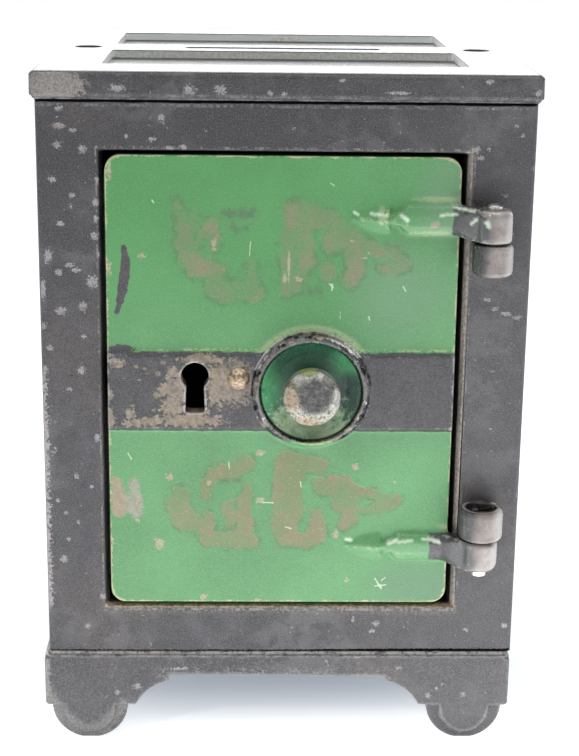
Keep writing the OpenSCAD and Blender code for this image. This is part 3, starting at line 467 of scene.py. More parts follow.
def base_extras(at, colour, crumb):
    """The bead is rubbed light, the apron's lower edge is flaked, and each foot has a bare band."""
    x, y, z = (at.part(axis) for axis in "XYZ")
    front = 1 - y.rise(-44.0, -43.0)
    soft = at.noise(0.3, 3.0)
    bead = (crumb + (soft - 0.5) * 0.7 + x.rise(20, 52) * 0.04).rise(0.38, 0.56)
    bead = z.within(19.5, 20.6, 0.12) * bead * front
    left = (at.strokes(FOOT_LEFT) + 0.2 + (crumb - 0.5) * 4.5).rise(-0.8, 0.9) * 0.72 * front
    right = (at.strokes(FOOT_RIGHT) + (crumb - 0.5) * 1.0).rise(-0.2, 0.25) * front
    lower = (1 - z.rise(15.9, 17.6)) * x.within(-27, 25, 2) * (crumb + (soft - 0.5) * 0.4).rise(0.5, 0.64)
    lower = lower * front
    side = (-49.6 - x + (crumb - 0.5) * 3.0).rise(0.0, 0.8) * z.within(8, 19, 2) * front
    metal = mixed(at.noise(2.4, 3.0, 0.7).rise(0.36, 0.64), FOOT_DARK, FOOT_PALE)
    colour = mixed(bead * 0.7, colour, BEAD_PALE)
    colour = mixed(left.either(side).either(right * 0.8).either(lower * 0.7) * 0.85, colour, metal)
    # painted shade: the upper edge, at the joint under the frame, is black
    return colour, front * z.rise(20.75, 20.9)


# bare spots as (x, z, half width, half height), in millimetres seen from the front
FRONT_WEAR = [
    (-45.2, 137.4, 1, 0.8), (-45.3, 133.9, 1.5, 0.8), (-42.4, 133.1, 0.8, 0.5), (-45.6, 130.1, 1, 1),
    (-40.7, 129.3, 1.1, 1.1), (-46.8, 123.3, 1, 0.8), (-37.8, 123.2, 0.8, 1), (-42.9, 120.1, 0.8, 0.6),
    (-38.3, 118.7, 0.9, 0.9), (-38.2, 115.1, 0.6, 1), (-45.4, 114.2, 1, 0.8), (-38.5, 111.8, 1, 1),
    (-48, 107.6, 1, 1.8), (-43.6, 105.8, 1.1, 0.6), (-42.4, 104.8, 1.1, 0.6), (-45.9, 104.3, 1, 0.8),
    (-49.2, 100.6, 0.8, 2.6), (-39.2, 102.3, 1.4, 1.6), (-41.2, 97.3, 1.1, 1.1), (-45.7, 96.2, 1.4, 1.1),
    (-49.4, 93, 1, 1), (-41.1, 90.8, 0.6, 0.6), (-48.1, 88.4, 0.8, 0.8), (-25, 135.6, 0.8, 0.8),
    (-31.9, 132, 0.5, 0.6), (-26.8, 131.3, 1, 0.6), (-23.1, 129.7, 1.2, 0.5), (-20.7, 129.9, 1, 0.6),
    (-41.7, 83.7, 1, 1), (-49.2, 83.7, 0.8, 1.1), (-44.4, 79.6, 0.8, 0.6), (-38.8, 69, 0.8, 1),
    (-49.1, 67.6, 0.8, 0.9), (-43.2, 60.6, 0.6, 0.8), (-40.1, 58.2, 0.6, 0.5), (-47.3, 55.2, 0.8, 0.5),
    (-45.7, 52.3, 0.6, 0.5), (-43, 50.3, 0.6, 0.5), (-45.2, 46.5, 0.6, 0.6), (-46.3, 41.9, 1, 1.1),
    (-38.2, 33.4, 0.8, 0.8), (-41.6, 26.5, 0.8, 0.8), (45.7, 134.7, 0.5, 0.5), (47, 132.8, 0.5, 0.5),
    (37.7, 129.9, 1.2, 1), (38.8, 128.2, 1, 0.6), (49.8, 126, 0.5, 0.8), (41.5, 99.1, 1.1, 0.6),
    (43, 97.3, 1.1, 0.6), (45.4, 96.2, 1.5, 0.6), (47.7, 95.4, 1.1, 0.6), (15.5, 28.2, 0.5, 0.9),
    (20.5, 27.1, 1.1, 0.9), (19.7, 25.4, 0.9, 0.6), (40, 25.7, 0.9, 0.5), (48.3, 26.7, 0.9, 0.9)]
TOP_WEAR = [
    (-33.5, 141.5, 2.1, 0.8), (-19.4, 141.3, 1.5, 1.2), (-13.3, 141.4, 1.5, 1.2), (-3.5, 140.9, 0.7, 0.6),
    (-0.7, 140.7, 0.6, 0.5), (10.8, 143.6, 0.8, 0.5), (22.1, 141.1, 2.8, 0.4), (39.8, 143.5, 0.8, 0.6),
    (49.9, 141.4, 1.5, 0.9)]
BASE_WEAR = [
    (34, 11.9, 0.5, 0.5), (40, 10.7, 0.8, 0.8), (32.4, 10.3, 0.7, 1), (16.4, 19.3, 0.7, 0.5),
    (25.6, 16.9, 0.7, 0.5), (20.5, 20.9, 0.7, 0.4), (32.4, 21, 0.7, 0.4), (49, 20.3, 1.2, 0.9),
    (-31, 12.4, 1.2, 1), (-35.4, 11, 0.8, 0.8), (-48.8, 20.3, 1.4, 0.9), (-22, 16.6, 2.4, 0.5)]
# where the fronts of frame, top plate and base end, in millimetres
FRAME_FRONT, TOP_FRONT, BASE_FRONT = -46.3, -47.3, -44.0
case_paint = black_paint("case_paint", worn=0.0, chips=0.0, gloss=0.38, places=FRONT_WEAR,
                         front=FRAME_FRONT, extra=frame_extras)
side_paint = black_paint("side_paint", worn=0.25, chips=0.02, gloss=0.4)
top_paint = black_paint("top_paint", worn=0.1, chips=-0.01, gloss=0.34, places=TOP_WEAR, front=TOP_FRONT,
                        extra=top_extras)
base_paint = black_paint("base_paint", worn=0.35, chips=0.015, gloss=0.38, places=BASE_WEAR,
                         front=BASE_FRONT, extra=base_extras)
casting("front_frame", "front_casting", case_paint, shape=flare, rounded=on_knuckles)
casting("left_side", "left_casting", side_paint)
casting("right_side", "right_casting", side_paint)
casting("back_panel", "back_casting", side_paint)
casting("top_plate", "top_casting", top_paint, rounded=on_top_front, keen=on_top_face)
casting("base_plate", "base_casting", base_paint)

# Door: one casting with band, boss, hinge straps and knuckles, so its forms melt together.
# The flats are green enamel; band, boss rim and hinge roots are black, worn to bare iron.
# It swings on two pins in the knuckles of the front.

# Sizes in metres. The straps stand proud of STRAP_FRONT, right of STRAP_FROM, above and below STRAP_GAP.
# DOOR_KEPT is the share of faces that is kept, and the rounds say how often a form is softened.
DOOR_GRAIN, DOOR_KEPT = 0.00032, 0.3
STRAP_FRONT, STRAP_FROM, STRAP_GAP = -0.0469, 0.012, (0.067, 0.0915)
KNUCKLE_FRONT, KNUCKLE_FROM = -0.0475, 0.0375
SOFTNESS, DOOR_ROUNDS, STRAP_ROUNDS, KNUCKLE_ROUNDS = 0.5, 9, 7, 26
DOOR_BEND_ROUNDS, TINY = 3, 1e-9


def remeshed(piece, grain, rounds):
    """Turns a piece into one skin of even faces and softens its edges."""
    piece.data.remesh_voxel_size = grain
    bpy.ops.object.voxel_remesh()
    soften = piece.modifiers.new("soften", "SMOOTH")
    soften.factor = SOFTNESS
    soften.iterations = rounds
    bpy.ops.object.modifier_apply(modifier="soften")


def mark_bends(piece, rounds):
    """Stores how sharply the surface bends at each point, in 1/mm: outer edges above 0, corners below."""
    mesh = piece.data
    count = len(mesh.vertices)
    place = np.empty(count * 3, np.float32)
    mesh.vertices.foreach_get("co", place)
    place = place.reshape(-1, 3).astype(float) * MM
    normal = np.empty(count * 3, np.float32)
    mesh.vertex_normals.foreach_get("vector", normal)
    normal = normal.reshape(-1, 3)
    ends = np.empty(len(mesh.edges) * 2, np.int32)
    mesh.edges.foreach_get("vertices", ends)
    a, b = ends.reshape(-1, 2).T
    step = place[b] - place[a]
    square = (step ** 2).sum(1) + TINY
    bend = np.bincount(a, -(step * normal[a]).sum(1) / square, count)
    bend += np.bincount(b, (step * normal[b]).sum(1) / square, count)
    links = np.bincount(a, minlength=count) + np.bincount(b, minlength=count) + TINY
    bend /= links
    for _ in range(rounds):
        spread = np.bincount(a, bend[b], count) + np.bincount(b, bend[a], count)
        bend = (bend + spread / links) / 2
    mesh.attributes.new("bend", "FLOAT", "POINT").data.foreach_set("value", bend.astype(np.float32))


def bend_of(at):
    """What mark_bends stored."""
    return at.node("ShaderNodeAttribute", {"attribute_name": "bend"}, None, 2)


paint, shader, at = new_material("door_paint")
door = copy_of("door", "door_casting", paint)
remeshed(door, DOOR_GRAIN, DOOR_ROUNDS)
straps = door.vertex_groups.new(name="straps")
place = np.empty(len(door.data.vertices) * 3, np.float32)
door.data.vertices.foreach_get("co", place)
place = place.reshape(-1, 3)
proud = (place[:, 1] < STRAP_FRONT) & (place[:, 0] > STRAP_FROM)
proud &= (place[:, 2] < STRAP_GAP[0]) | (place[:, 2] > STRAP_GAP[1])
straps.add(np.flatnonzero(proud).tolist(), 1.0, "ADD")
knuckles = door.vertex_groups.new(name="knuckles")
proud = (place[:, 1] < KNUCKLE_FRONT) & (place[:, 0] > KNUCKLE_FROM)
knuckles.add(np.flatnonzero(proud).tolist(), 1.0, "ADD")
for group, rounds in (("straps", STRAP_ROUNDS), ("knuckles", KNUCKLE_ROUNDS)):
    melt = door.modifiers.new("melt", "SMOOTH")
    melt.factor = SOFTNESS
    melt.iterations = rounds
    melt.vertex_group = group
    bpy.ops.object.modifier_apply(modifier="melt")
thin = door.modifiers.new("thin", "DECIMATE")
thin.ratio = DOOR_KEPT
bpy.ops.object.modifier_apply(modifier="thin")
bpy.ops.object.shade_smooth()
mark_bends(door, DOOR_BEND_ROUNDS)

# places in millimetres seen from the front: ellipses (x, z, half width, half height)
# and round-ended strokes (x, z to x, z, half width)
BOSS = (5.6, 79.7)
RIM_R, DISH_R = 12.2, 10.75
BAND = (70.8, 87.8)
WORN_UP = [
    (-21.9, 118.5, -21.3, 116, 0.6), (-21.3, 116, -20.9, 113.4, 0.8), (-20.9, 113.4, -20.4, 110.5, 1.2),
    (-20.4, 110.5, -19.6, 107.6, 1.8), (-19.6, 107.6, -18.2, 105.6, 2), (-18.5, 117.7, -18.5, 115.4, 0.4),
    (-18.5, 115.4, -19.1, 112.6, 0.6), (-17.9, 110.5, -17.1, 112, 0.5), (-17.1, 112, -15.9, 113.6, 0.6),
    (-15.9, 113.6, -14.7, 114.9, 0.9), (-14.7, 114.9, -14.7, 112.4, 1), (-14.7, 112.4, -14.7, 110.1, 1),
    (-16.7, 105.4, -14.1, 104.6, 1.5), (-14.1, 104.6, -14.5, 101.4, 1.4), (-14.5, 101.4, -12.1, 100.4, 1.6),
    (-12.1, 100.4, -9.2, 100.9, 1.8), (-9.2, 100.9, -6.4, 100.5, 1.8), (-6.8, 105.7, -6.6, 102.5, 1),
    (1, 117.2, 3.4, 117.3, 1.7), (3.4, 117.3, 5.8, 116, 1.9), (5.8, 116, 8.4, 115.3, 1.9),
    (8.4, 115.3, 10.7, 113.2, 1.9), (10.7, 113.2, 13.6, 111.4, 1.8), (13.6, 111.4, 14.1, 108.1, 1.8),
    (14.1, 108.1, 14.3, 104.8, 1.6), (14.3, 104.8, 13.2, 102.7, 1.1), (1.2, 114.6, 0.6, 110.9, 1.5),
    (0.6, 110.9, 0.5, 107.2, 1.2), (0.5, 107.2, 0.5, 103.4, 1.1), (0.5, 103.4, 0.4, 100.9, 1.1),
    (3.4, 113.6, 4.1, 109.7, 1.5), (4.1, 109.7, 4.1, 106.2, 1.4), (4.1, 106.2, 2.8, 103.9, 1.1),
    (2.8, 103.9, 2.2, 101.4, 0.9), (9.1, 112.2, 9.3, 110.1, 1.4), (16.2, 110.2, 19.3, 109, 1),
    (19.3, 109, 22.4, 108.2, 1.1), (22.4, 108.2, 24.1, 106.7, 1.1), (24.1, 106.7, 21.7, 105.5, 0.9),
    (21.7, 105.5, 20, 105.5, 0.8), (8.4, 104.7, 8.8, 104.5, 1.5)]
GRIME = [
    (-12.1, 116.5, -9.3, 116.7, 1.2), (-9.3, 116.7, -6.9, 116.6, 1.5), (-10.5, 113.7, -7.9, 113.7, 1.1),
    (3.6, 100.5, 7.1, 100.4, 0.9), (-12.4, 59.6, -8.6, 59.4, 0.9)]
WORN_LOW = [
    (-21.6, 56.7, -22.1, 54, 1.9), (-22.1, 54, -21.2, 51.3, 2.4), (-21.2, 51.3, -18.7, 50, 2.1),
    (-18.7, 50, -16.2, 48.4, 1.4), (-15.5, 51.3, -15.5, 50, 1.3), (-15.8, 46.4, -12.4, 46.4, 1.5),
    (-12.4, 46.4, -9, 46.6, 1.8), (-9, 46.6, -6.8, 46.2, 1.6), (-7.9, 55.6, -8.4, 52.3, 1.4),
    (-8.4, 52.3, -7.9, 48.7, 1.7), (-11.3, 53.8, -10.9, 50.5, 1.3), (-7.8, 63.7, -9.5, 62.3, 1.6),
    (-9.5, 62.3, -12, 61.9, 1.6), (-12, 61.9, -14.5, 61, 1.3), (-14.5, 61, -16, 59, 1.2),
    (-16, 59, -16.2, 56.7, 1.2), (-7.5, 58.6, -7.1, 56.1, 0.8), (1, 63.5, 1.1, 59.9, 2.7),
    (1.1, 59.9, 0.9, 56.4, 3), (0.9, 56.4, 1.6, 54.1, 3), (1.6, 54.1, 0.5, 51, 2.8),
    (0.5, 51, 0.8, 47.3, 2.4), (1.4, 63.9, 4.8, 63.5, 2), (4.8, 63.5, 7.8, 63.1, 1.7),
    (8.3, 58.6, 11.6, 58.4, 2), (11.6, 58.4, 13.8, 57.8, 2), (13.8, 57.8, 14, 54.2, 1.9),
    (14, 54.2, 14.1, 51.5, 1.7), (14.1, 51.5, 12.9, 49.9, 1.2), (9.9, 60.2, 13.3, 60.2, 0.9),
    (15.5, 57.5, 18.6, 56.9, 1), (18.6, 56.9, 21.4, 56, 1), (21.4, 56, 24, 55.6, 0.9),
    (24, 55.6, 21.9, 54.4, 0.9), (21.9, 54.4, 19.4, 53.5, 1), (19.4, 53.5, 16.8, 53.1, 0.8),
    (11.7, 54.6, 12.1, 54.2, 1.4), (7.3, 52.3, 7.8, 50.1, 1.4), (7.8, 50.1, 7.4, 47.4, 1.5),
    (7.4, 47.4, 5.1, 46.4, 1.6), (5.1, 46.4, 3.2, 46.2, 1.3)]
CHIPS = [
    (-23.7, 60.5, 1, 1.1), (-4.7, 65.9, 1.1, 0.8), (-4.6, 55.2, 1.1, 0.9), (-26.1, 45.6, 1.3, 1.6),
    (11.4, 47.8, 0.8, 1.4), (15.3, 62.9, 0.9, 0.8), (-15.5, 59.2, 0.6, 0.7), (2.6, 103.2, 1.1, 0.6),
    (-14.5, 110.6, 0.6, 0.9), (-14.5, 109.3, 0.4, 0.5), (-36.5, 46.1, 1, 1.1), (29.9, 115, 1.1, 1.2),
    (13.8, 37.3, 0.7, 0.7), (-30.5, 50.6, 0.7, 0.7), (-16.8, 33.3, 1.1, 0.7), (-5, 32.6, 0.8, 0.5),
    (-29.1, 107.8, 1, 0.8), (-35.4, 124.8, 0.6, 1.8), (-35.7, 105.2, 0.6, 1.7), (23.6, 59.4, 0.4, 0.4)]
PATCH = [
    (-35, 59.3, -34.7, 56.4, 1), (-34.7, 56.4, -34.5, 52.8, 1.3), (-31.3, 59.1, -30.9, 56.4, 0.9),
    (-30.9, 56.4, -30.5, 53.8, 1.1), (-33.4, 55.3, -30.9, 52.6, 1.2)]
SCRATCHES = [
    (-11.4, 63.8, -11.2, 62.3, 0.16), (3.7, 59.5, 3.9, 58.4, 0.2), (0.6, 49.4, 1.9, 49, 0.16),
    (20, 37.6, 21.4, 35.4, 0.2), (20, 35.9, 22.4, 36.2, 0.16), (21.4, 37.2, 22.2, 37.9, 0.16),
    (-32.4, 65.7, -31.7, 64.4, 0.16), (-4.2, 54.9, -2, 54.8, 0.18), (-7.1, 111, -7.3, 108, 0.13),
    (9, 102.3, 9.8, 101.5, 0.16), (9.6, 102.2, 9.5, 100.9, 0.16), (24.1, 101.8, 24.6, 100.9, 0.2),
    (11.4, 96.6, 11.3, 94.9, 0.12), (17.2, 95.4, 17.4, 94.7, 0.18), (-26.9, 119.2, -26.6, 118.7, 0.16),
    (8.8, 123, 9.6, 122.4, 0.14)]
TOUCH_UP = [
    (-32.7, 109.4, -32.4, 106.7, 0.6), (-32.4, 106.7, -32.6, 103.8, 1), (-32.6, 103.8, -33.1, 100.7, 1),
    (-33.1, 100.7, -33.6, 98.4, 0.8), (-33.6, 98.4, -34.3, 96.1, 0.5)]
BARE_BAND = [
    (-17.4, 86.2, 5.1, 1.4), (-12.8, 84.6, 1.4, 1.5), (-23.1, 83.4, 1.4, 1.5), (-23.3, 80, 2.9, 2.6),
    (-23, 76.3, 2.7, 2.6), (-14.1, 80.7, 2.5, 5.2), (-20.1, 73.1, 8.3, 1.6), (-28.2, 72.8, 2.9, 1.1),
    (-31.7, 74.3, 1.2, 1.5), (-31.3, 72.4, 1.9, 1.1), (-35.8, 73.4, 1, 2.2), (-35.9, 78.6, 0.8, 1.1),
    (-34.6, 85.5, 1.6, 1.3), (-11.6, 82, 1.4, 1.9), (-21.5, 81.1, 1.2, 3), (-18.2, 75.1, 2.9, 1.3)]
# painted highlights on the fillets along the straps and on the door's upper left corner
PALE_HIGHLIGHTS = [
    (31.5, 119.8, 7.5, 1), (30, 113, 7, 0.8), (35, 49.6, 2.6, 1), (19.2, 116.6, 1, 2.6),
    (-35.4, 126.3, 0.5, 1.6)]
# painted highlights: short glints on the straps and by the upper knuckle
GLINTS = [
    (31, 116.8, 34.2, 117.2, 0.2), (17.2, 116.9, 20.4, 116.7, 0.2), (23.2, 116.7, 24.4, 115.9, 0.3),
    (13.8, 117, 14.4, 116.6, 0.2), (36.9, 115.8, 37.7, 116.8, 0.2), (13.7, 46.6, 14.6, 46.5, 0.3),
    (22.6, 46.2, 24.1, 46.9, 0.3), (24.7, 46.7, 27.5, 46.9, 0.2), (29.8, 47.2, 31.1, 47.2, 0.2),
    (31.5, 47.2, 33.2, 46.7, 0.3), (33.6, 118.5, 37.2, 118.3, 0.15), (39.6, 116.5, 39.9, 115.9, 0.35)]
# broad ellipses: dull corners of the flats, painted light and shade in the dish, worn places, the keyhole
DULL_RIGHT, DULL_LOW, PALE_LOW = [(24, 100, 16, 14), (33, 120, 9, 14)], [(29, 36, 16, 8)], [(27, 60, 16, 12)]
DISH_LIGHT, DISH_SHADE = [(-4.2, 80.0, 4.6, 9), (13.5, 86.0, 5.5, 5)], [(14.0, 78.5, 4.6, 6.4)]
DISH_WORN, OVERRUN, BESIDE = [(5.6, 70.5, 13, 8.0)], [(-33.6, 88.2, 3.4, 1.2)], [(-10.8, 81.2, 5.2, 5.2)]
KEYHOLE = [(-18.4, 80.5, 4.9, 9.5)]
RIMLIGHT = [
    (-5.8, 84.7, -4.6, 87.1, 0.4), (-4.6, 87.1, -3, 88.8, 0.4), (-3, 88.8, -0.6, 90.7, 0.4),
    (9.2, 91.4, 11.7, 90.4, 0.4), (11.7, 90.4, 13.8, 88.9, 0.4), (13.8, 88.9, 15.5, 87.2, 0.4)]
RIMCHIP = [
    (7.2, 91.6, 1.4, 0.7), (4.5, 92, 1.2, 0.5), (-4.1, 72.5, 1, 1), (1.5, 90.3, 1, 0.5),
    (12.7, 71.9, 2.1, 0.6), (15.1, 74.9, 0.9, 1.3)]
CREAM = [
    (0.7, 105.9, 0.4, 3.7), (-0.1, 103.2, 0.5, 1.5), (13.4, 111.2, 0.6, 0.2), (16.9, 108.7, 0.3, 0.3),
    (16.1, 107.7, 0.8, 0.2)]
BAND_BITS = [
    (-30.5, 84.7, 0.6, 0.5), (-28.7, 84.2, 0.6, 0.4), (-28.3, 83.2, 0.5, 0.4), (-29.9, 81.9, 0.6, 0.3),
    (-24.9, 85.6, 0.8, 0.5), (-26, 83.2, 0.8, 0.6), (-26.4, 78.7, 0.8, 1.1), (-33, 82.1, 0.3, 0.2),
    (-31.4, 76.3, 0.8, 0.4), (-26.9, 75.4, 0.6, 0.4)]

# linear colours: green enamel, then what lies on it or shows through
GREEN, GREEN_LIGHT, GREEN_GRAIN = (0.05, 0.19, 0.06), (0.072, 0.24, 0.082), (0.112, 0.305, 0.122)
GREEN_SHADED_UPPER, GREEN_SPECK, GREEN_PALE = (0.028, 0.215, 0.032), (0.03, 0.11, 0.036), (0.15, 0.38, 0.17)
GREEN_BITS, GREEN_GRIME, GREEN_FRINGE = (0.3, 0.42, 0.2), (0.05, 0.1, 0.048), (0.045, 0.105, 0.038)
DULL_RIGHT_GREEN, DULL_LOW_GREEN = (0.14, 0.25, 0.15), (0.085, 0.165, 0.095)
PALE_LOW_GREEN = (0.13, 0.35, 0.15)
DISH_DEEP, DISH_LIT, DISH_SHADED = (0.012, 0.085, 0.045), (0.05, 0.26, 0.105), (0.01, 0.036, 0.028)
DISH_RUBBED, DISH_RUBBED_PALE = (0.22, 0.33, 0.21), (0.36, 0.46, 0.3)
GHOST_UP_GREEN, GHOST_UP_BROWN = (0.118, 0.165, 0.072), (0.19, 0.155, 0.095)
GHOST_LOW_GREEN, GHOST_LOW_BROWN = (0.13, 0.16, 0.06), (0.18, 0.152, 0.08)
GHOST_GILT, CREAM_TONE, HALO_HIGHLIGHT = (0.46, 0.43, 0.23), (0.4, 0.36, 0.25), (0.34, 0.42, 0.23)
PATCH_LEFT, PATCH_RIGHT = (0.3, 0.2, 0.145), (0.27, 0.24, 0.2)
PATCH_SHADE, PATCH_BITS = (0.19, 0.155, 0.105), (0.5, 0.47, 0.37)
BLACK, BLACK_WORN, BLACK_GRAIN = (0.008, 0.0075, 0.011), (0.022, 0.0205, 0.025), (0.058, 0.055, 0.06)
BLACK_SPECK, PIT = (0.135, 0.13, 0.135), (0.008, 0.008, 0.009)
GROOVE, SEAM = (0.006, 0.008, 0.007), (0.01, 0.01, 0.01)
BARE_RED, BARE_YELLOW, BARE_PALE = (0.2, 0.155, 0.128), (0.205, 0.165, 0.098), (0.265, 0.222, 0.178)
BARE_BITS, BARE_SHADE = (0.065, 0.056, 0.045), (0.085, 0.072, 0.058)
RIM_TAN, RIM_SILVER_HIGHLIGHT, KEY_EDGE = (0.3, 0.24, 0.19), (0.82, 0.8, 0.78), (0.42, 0.38, 0.36)
DOOR_KNUCKLE_SHADE = (0.075, 0.068, 0.064)
CHIP_RUST, CHIP_PALE = (0.27, 0.2, 0.14), (0.36, 0.32, 0.24)
EDGE_CREAM, EDGE_IRON = (0.44, 0.42, 0.25), (0.25, 0.235, 0.22)
GLINT, SCRATCH = (0.62, 0.74, 0.58), (0.5, 0.6, 0.44)
INNER, INNER_GRAIN = (0.014, 0.013, 0.015), (0.05, 0.046, 0.046)
INNER_RUST, INNER_BITS = (0.12, 0.08, 0.055), (0.2, 0.17, 0.145)
DOOR_RELIEF, COAT_ROUGHNESS = 0.00024, 0.13

grain = at.noise(2.6, 4.0, 0.75)
fine = at.noise(4.2, 3.0, 0.75)
crumb = at.noise(1.3, 4.0, 0.65)
bits = at.noise(3.2, 3.0, 0.7)
broad = at.noise(0.5, 3.0, 0.6)
soft = at.noise(0.3, 3.0)
cloud = at.noise(0.05, 4.0)
# the same about zero, to make borders ragged
ragged = crumb - 0.5
speckled = bits - 0.5
wavy = broad - 0.5
slow = soft - 0.5
x, y, z = (at.part(axis) for axis in "XYZ")
bend = bend_of(at)
from_boss = at.away(*BOSS)
# green enamel: uneven, rubbed paler, grimy in corners, darker towards the upper left as painted shade, and
# deep and glossy in the dish with painted light and shade
green = mixed(cloud.rise(0.35, 0.65), GREEN, GREEN_LIGHT)
green = mixed(grain.rise(0.42, 0.66) * 0.45, green, GREEN_GRAIN)
green = mixed(z.rise(80, 112) * (1 - x.rise(0, 34) * 0.7) * 0.5, green, GREEN_SHADED_UPPER)
green = mixed(fine.rise(0.54, 0.7) * 0.68, green, GREEN_SPECK)
green = mixed((1 - fine.rise(0.3, 0.44)) * 0.45, green, GREEN_PALE)
green = mixed(bits.rise(0.68, 0.76) * 0.5, green, GREEN_BITS)
green = mixed(at.spots(DULL_RIGHT).rise(0, 0.8) * 0.45, green, DULL_RIGHT_GREEN)
green = mixed(at.spots(DULL_LOW).rise(0, 0.8) * 0.6, green, DULL_LOW_GREEN)
green = mixed(at.spots(PALE_LOW).rise(0, 0.8) * 0.4, green, PALE_LOW_GREEN)
grime = at.strokes(GRIME) + ragged * 5 + wavy * 4
green = mixed(grime.rise(-0.5, 2.0) * 0.8, green, GREEN_GRIME)
in_dish = 1 - from_boss.rise(DISH_R - 0.2, DISH_R + 0.2)
# painted light and shade in the dish: bright green on the left and upper right, dark teal on the right
deep = mixed(at.spots(DISH_LIGHT).rise(0, 0.8), DISH_DEEP, DISH_LIT)
deep = mixed(at.spots(DISH_SHADE).rise(0, 0.6) * 0.9, deep, DISH_SHADED)
worn_dish = at.spots(DISH_WORN) + ragged * 1.6 + wavy * 1.2
worn_green = mixed(soft.rise(0.4, 0.6), DISH_RUBBED, DISH_RUBBED_PALE)
deep = mixed(worn_dish.rise(0, 0.55) * 0.9, deep, worn_green)
green = mixed(in_dish, green, deep)
# an old stencil, worn off both flats
fray = wavy * 2.4 + ragged * 2.2
thin_wear = at.noise(0.18, 3.0).rise(0.34, 0.6)
pinkish = (at.noise(0.13, 3.0) + ragged * 0.3).rise(0.42, 0.6)
deep_low = at.strokes(WORN_LOW) + 0.15 + fray
deep_up = at.strokes(WORN_UP) + 0.25 + fray
dotted = 0.8 + grain.rise(0.36, 0.56) * 0.28
ghost_low = deep_low.rise(-0.2, 0.4) * (0.6 + thin_wear * 0.32) * dotted
ghost_up = deep_up.rise(-0.55, 0.85) * (0.36 + thin_wear * 0.4) * dotted
fringe = deep_low.within(-0.55, 0.15, 0.2).either(deep_up.within(-0.8, 0.2, 0.3)) * soft.rise(0.4, 0.62)
green = mixed(fringe * 0.5, green, GREEN_FRINGE)
skin = mixed(ghost_up, green, mixed(pinkish, GHOST_UP_GREEN, GHOST_UP_BROWN))
skin = mixed(ghost_low, skin, mixed(pinkish, GHOST_LOW_GREEN, GHOST_LOW_BROWN))
gilt = (bits + (grain - 0.5) * 0.3).rise(0.62, 0.7) * ghost_low.either(ghost_up * 0.6)
skin = mixed(gilt * 0.6, skin, GHOST_GILT)
worn_patch = (at.strokes(PATCH) + ragged * 2.6 + wavy * 1.6 + 0.35).rise(-0.3, 0.6)
patch_iron = mixed(x.rise(-34.4, -32.2), PATCH_LEFT, PATCH_RIGHT)
patch_iron = mixed(broad.rise(0.42, 0.6) * 0.6, patch_iron, PATCH_SHADE)
patch_iron = mixed(bits.rise(0.56, 0.7) * 0.6, patch_iron, PATCH_BITS)
skin = mixed(worn_patch * 0.82, skin, patch_iron)
skin = mixed((at.spots(CREAM) + ragged * 1.6).rise(0.0, 0.6) * 0.6, skin, CREAM_TONE)
# painted highlights: a pale halo above the boss, along the straps and on the band's upper edge, where
# fillets catch the light
halo_highlight = from_boss.within(12.2, 13.8, 0.6) * (z + wavy * 6).rise(86.0, 89.0) * (crumb + 0.12).rise(0.42, 0.62)
halo_highlight = halo_highlight.either((at.spots(PALE_HIGHLIGHTS) + ragged).rise(0.0, 0.7) * 0.8)
band_edge_highlight = z.within(88.0, 88.5, 0.15) * (crumb + slow * 0.7).rise(0.42, 0.6) * from_boss.rise(12.3, 12.9)
skin = mixed(halo_highlight.either(band_edge_highlight) * 0.7, skin, HALO_HIGHLIGHT)
# black: band, boss rim, hinge roots and one brushed touch-up
wave = wavy * 1.4
band = (z + wave * 0.6 + ragged * 0.5).within(*BAND, 0.12)
overrun = (at.spots(OVERRUN) + ragged * 1.5).rise(0.1, 0.25)
rim = from_boss.within(DISH_R - 0.1, RIM_R + 0.3, 0.2) * (z + wave * 2).rise(68.8, 69.8)
root = (x + wave - z.rise(79, 80) * 2.4 + 2.4).rise(33.3, 33.8)
root = root * (1 - y.rise(-47.2, -46.9)).either(x.rise(36.6, 36.8))
black_zone = (band.either(overrun) * from_boss.rise(DISH_R - 0.1, DISH_R + 0.2)).either(rim).either(root)
touched = (at.strokes(TOUCH_UP) + ragged * 0.8 + speckled * 0.4).rise(-0.05, 0.12)
black_zone = black_zone.either(touched)
black = mixed(soft.rise(0.38, 0.62), BLACK, BLACK_WORN)
black = mixed(grain.rise(0.44, 0.64) * 0.8, black, BLACK_GRAIN)
black = mixed(fine.rise(0.58, 0.7) * 0.6, black, BLACK_SPECK)
skin = mixed(black_zone, skin, black)
streak = at.noise(0.75, 3.0, 0.6)
pit = rim * (1 - streak.rise(0.42, 0.5)) * from_boss.rise(11.0, 11.3)
skin = mixed(pit, skin, PIT)
groove = (crumb + 0.25 - z.rise(86, 91) * 0.4).rise(0.45, 0.6)
groove = from_boss.within(DISH_R - 0.45, DISH_R + 0.15, 0.12) * groove
skin = mixed(groove * 0.9, skin, GROOVE)
# bare iron round the keyhole, on the boss and knuckles, and painted highlights along the boss rim
bare = (at.spots(BARE_BAND) + ragged * 2.0 + wavy * 1.2 + 0.1).rise(0.0, 0.45)
beside = (at.spots(BESIDE) + ragged * 1.8 + 0.15).rise(0.0, 0.55) * 0.85
bare = bare.either(beside).either((at.spots(BAND_BITS) + speckled * 2.0).rise(0.0, 0.5) * 0.7) * band
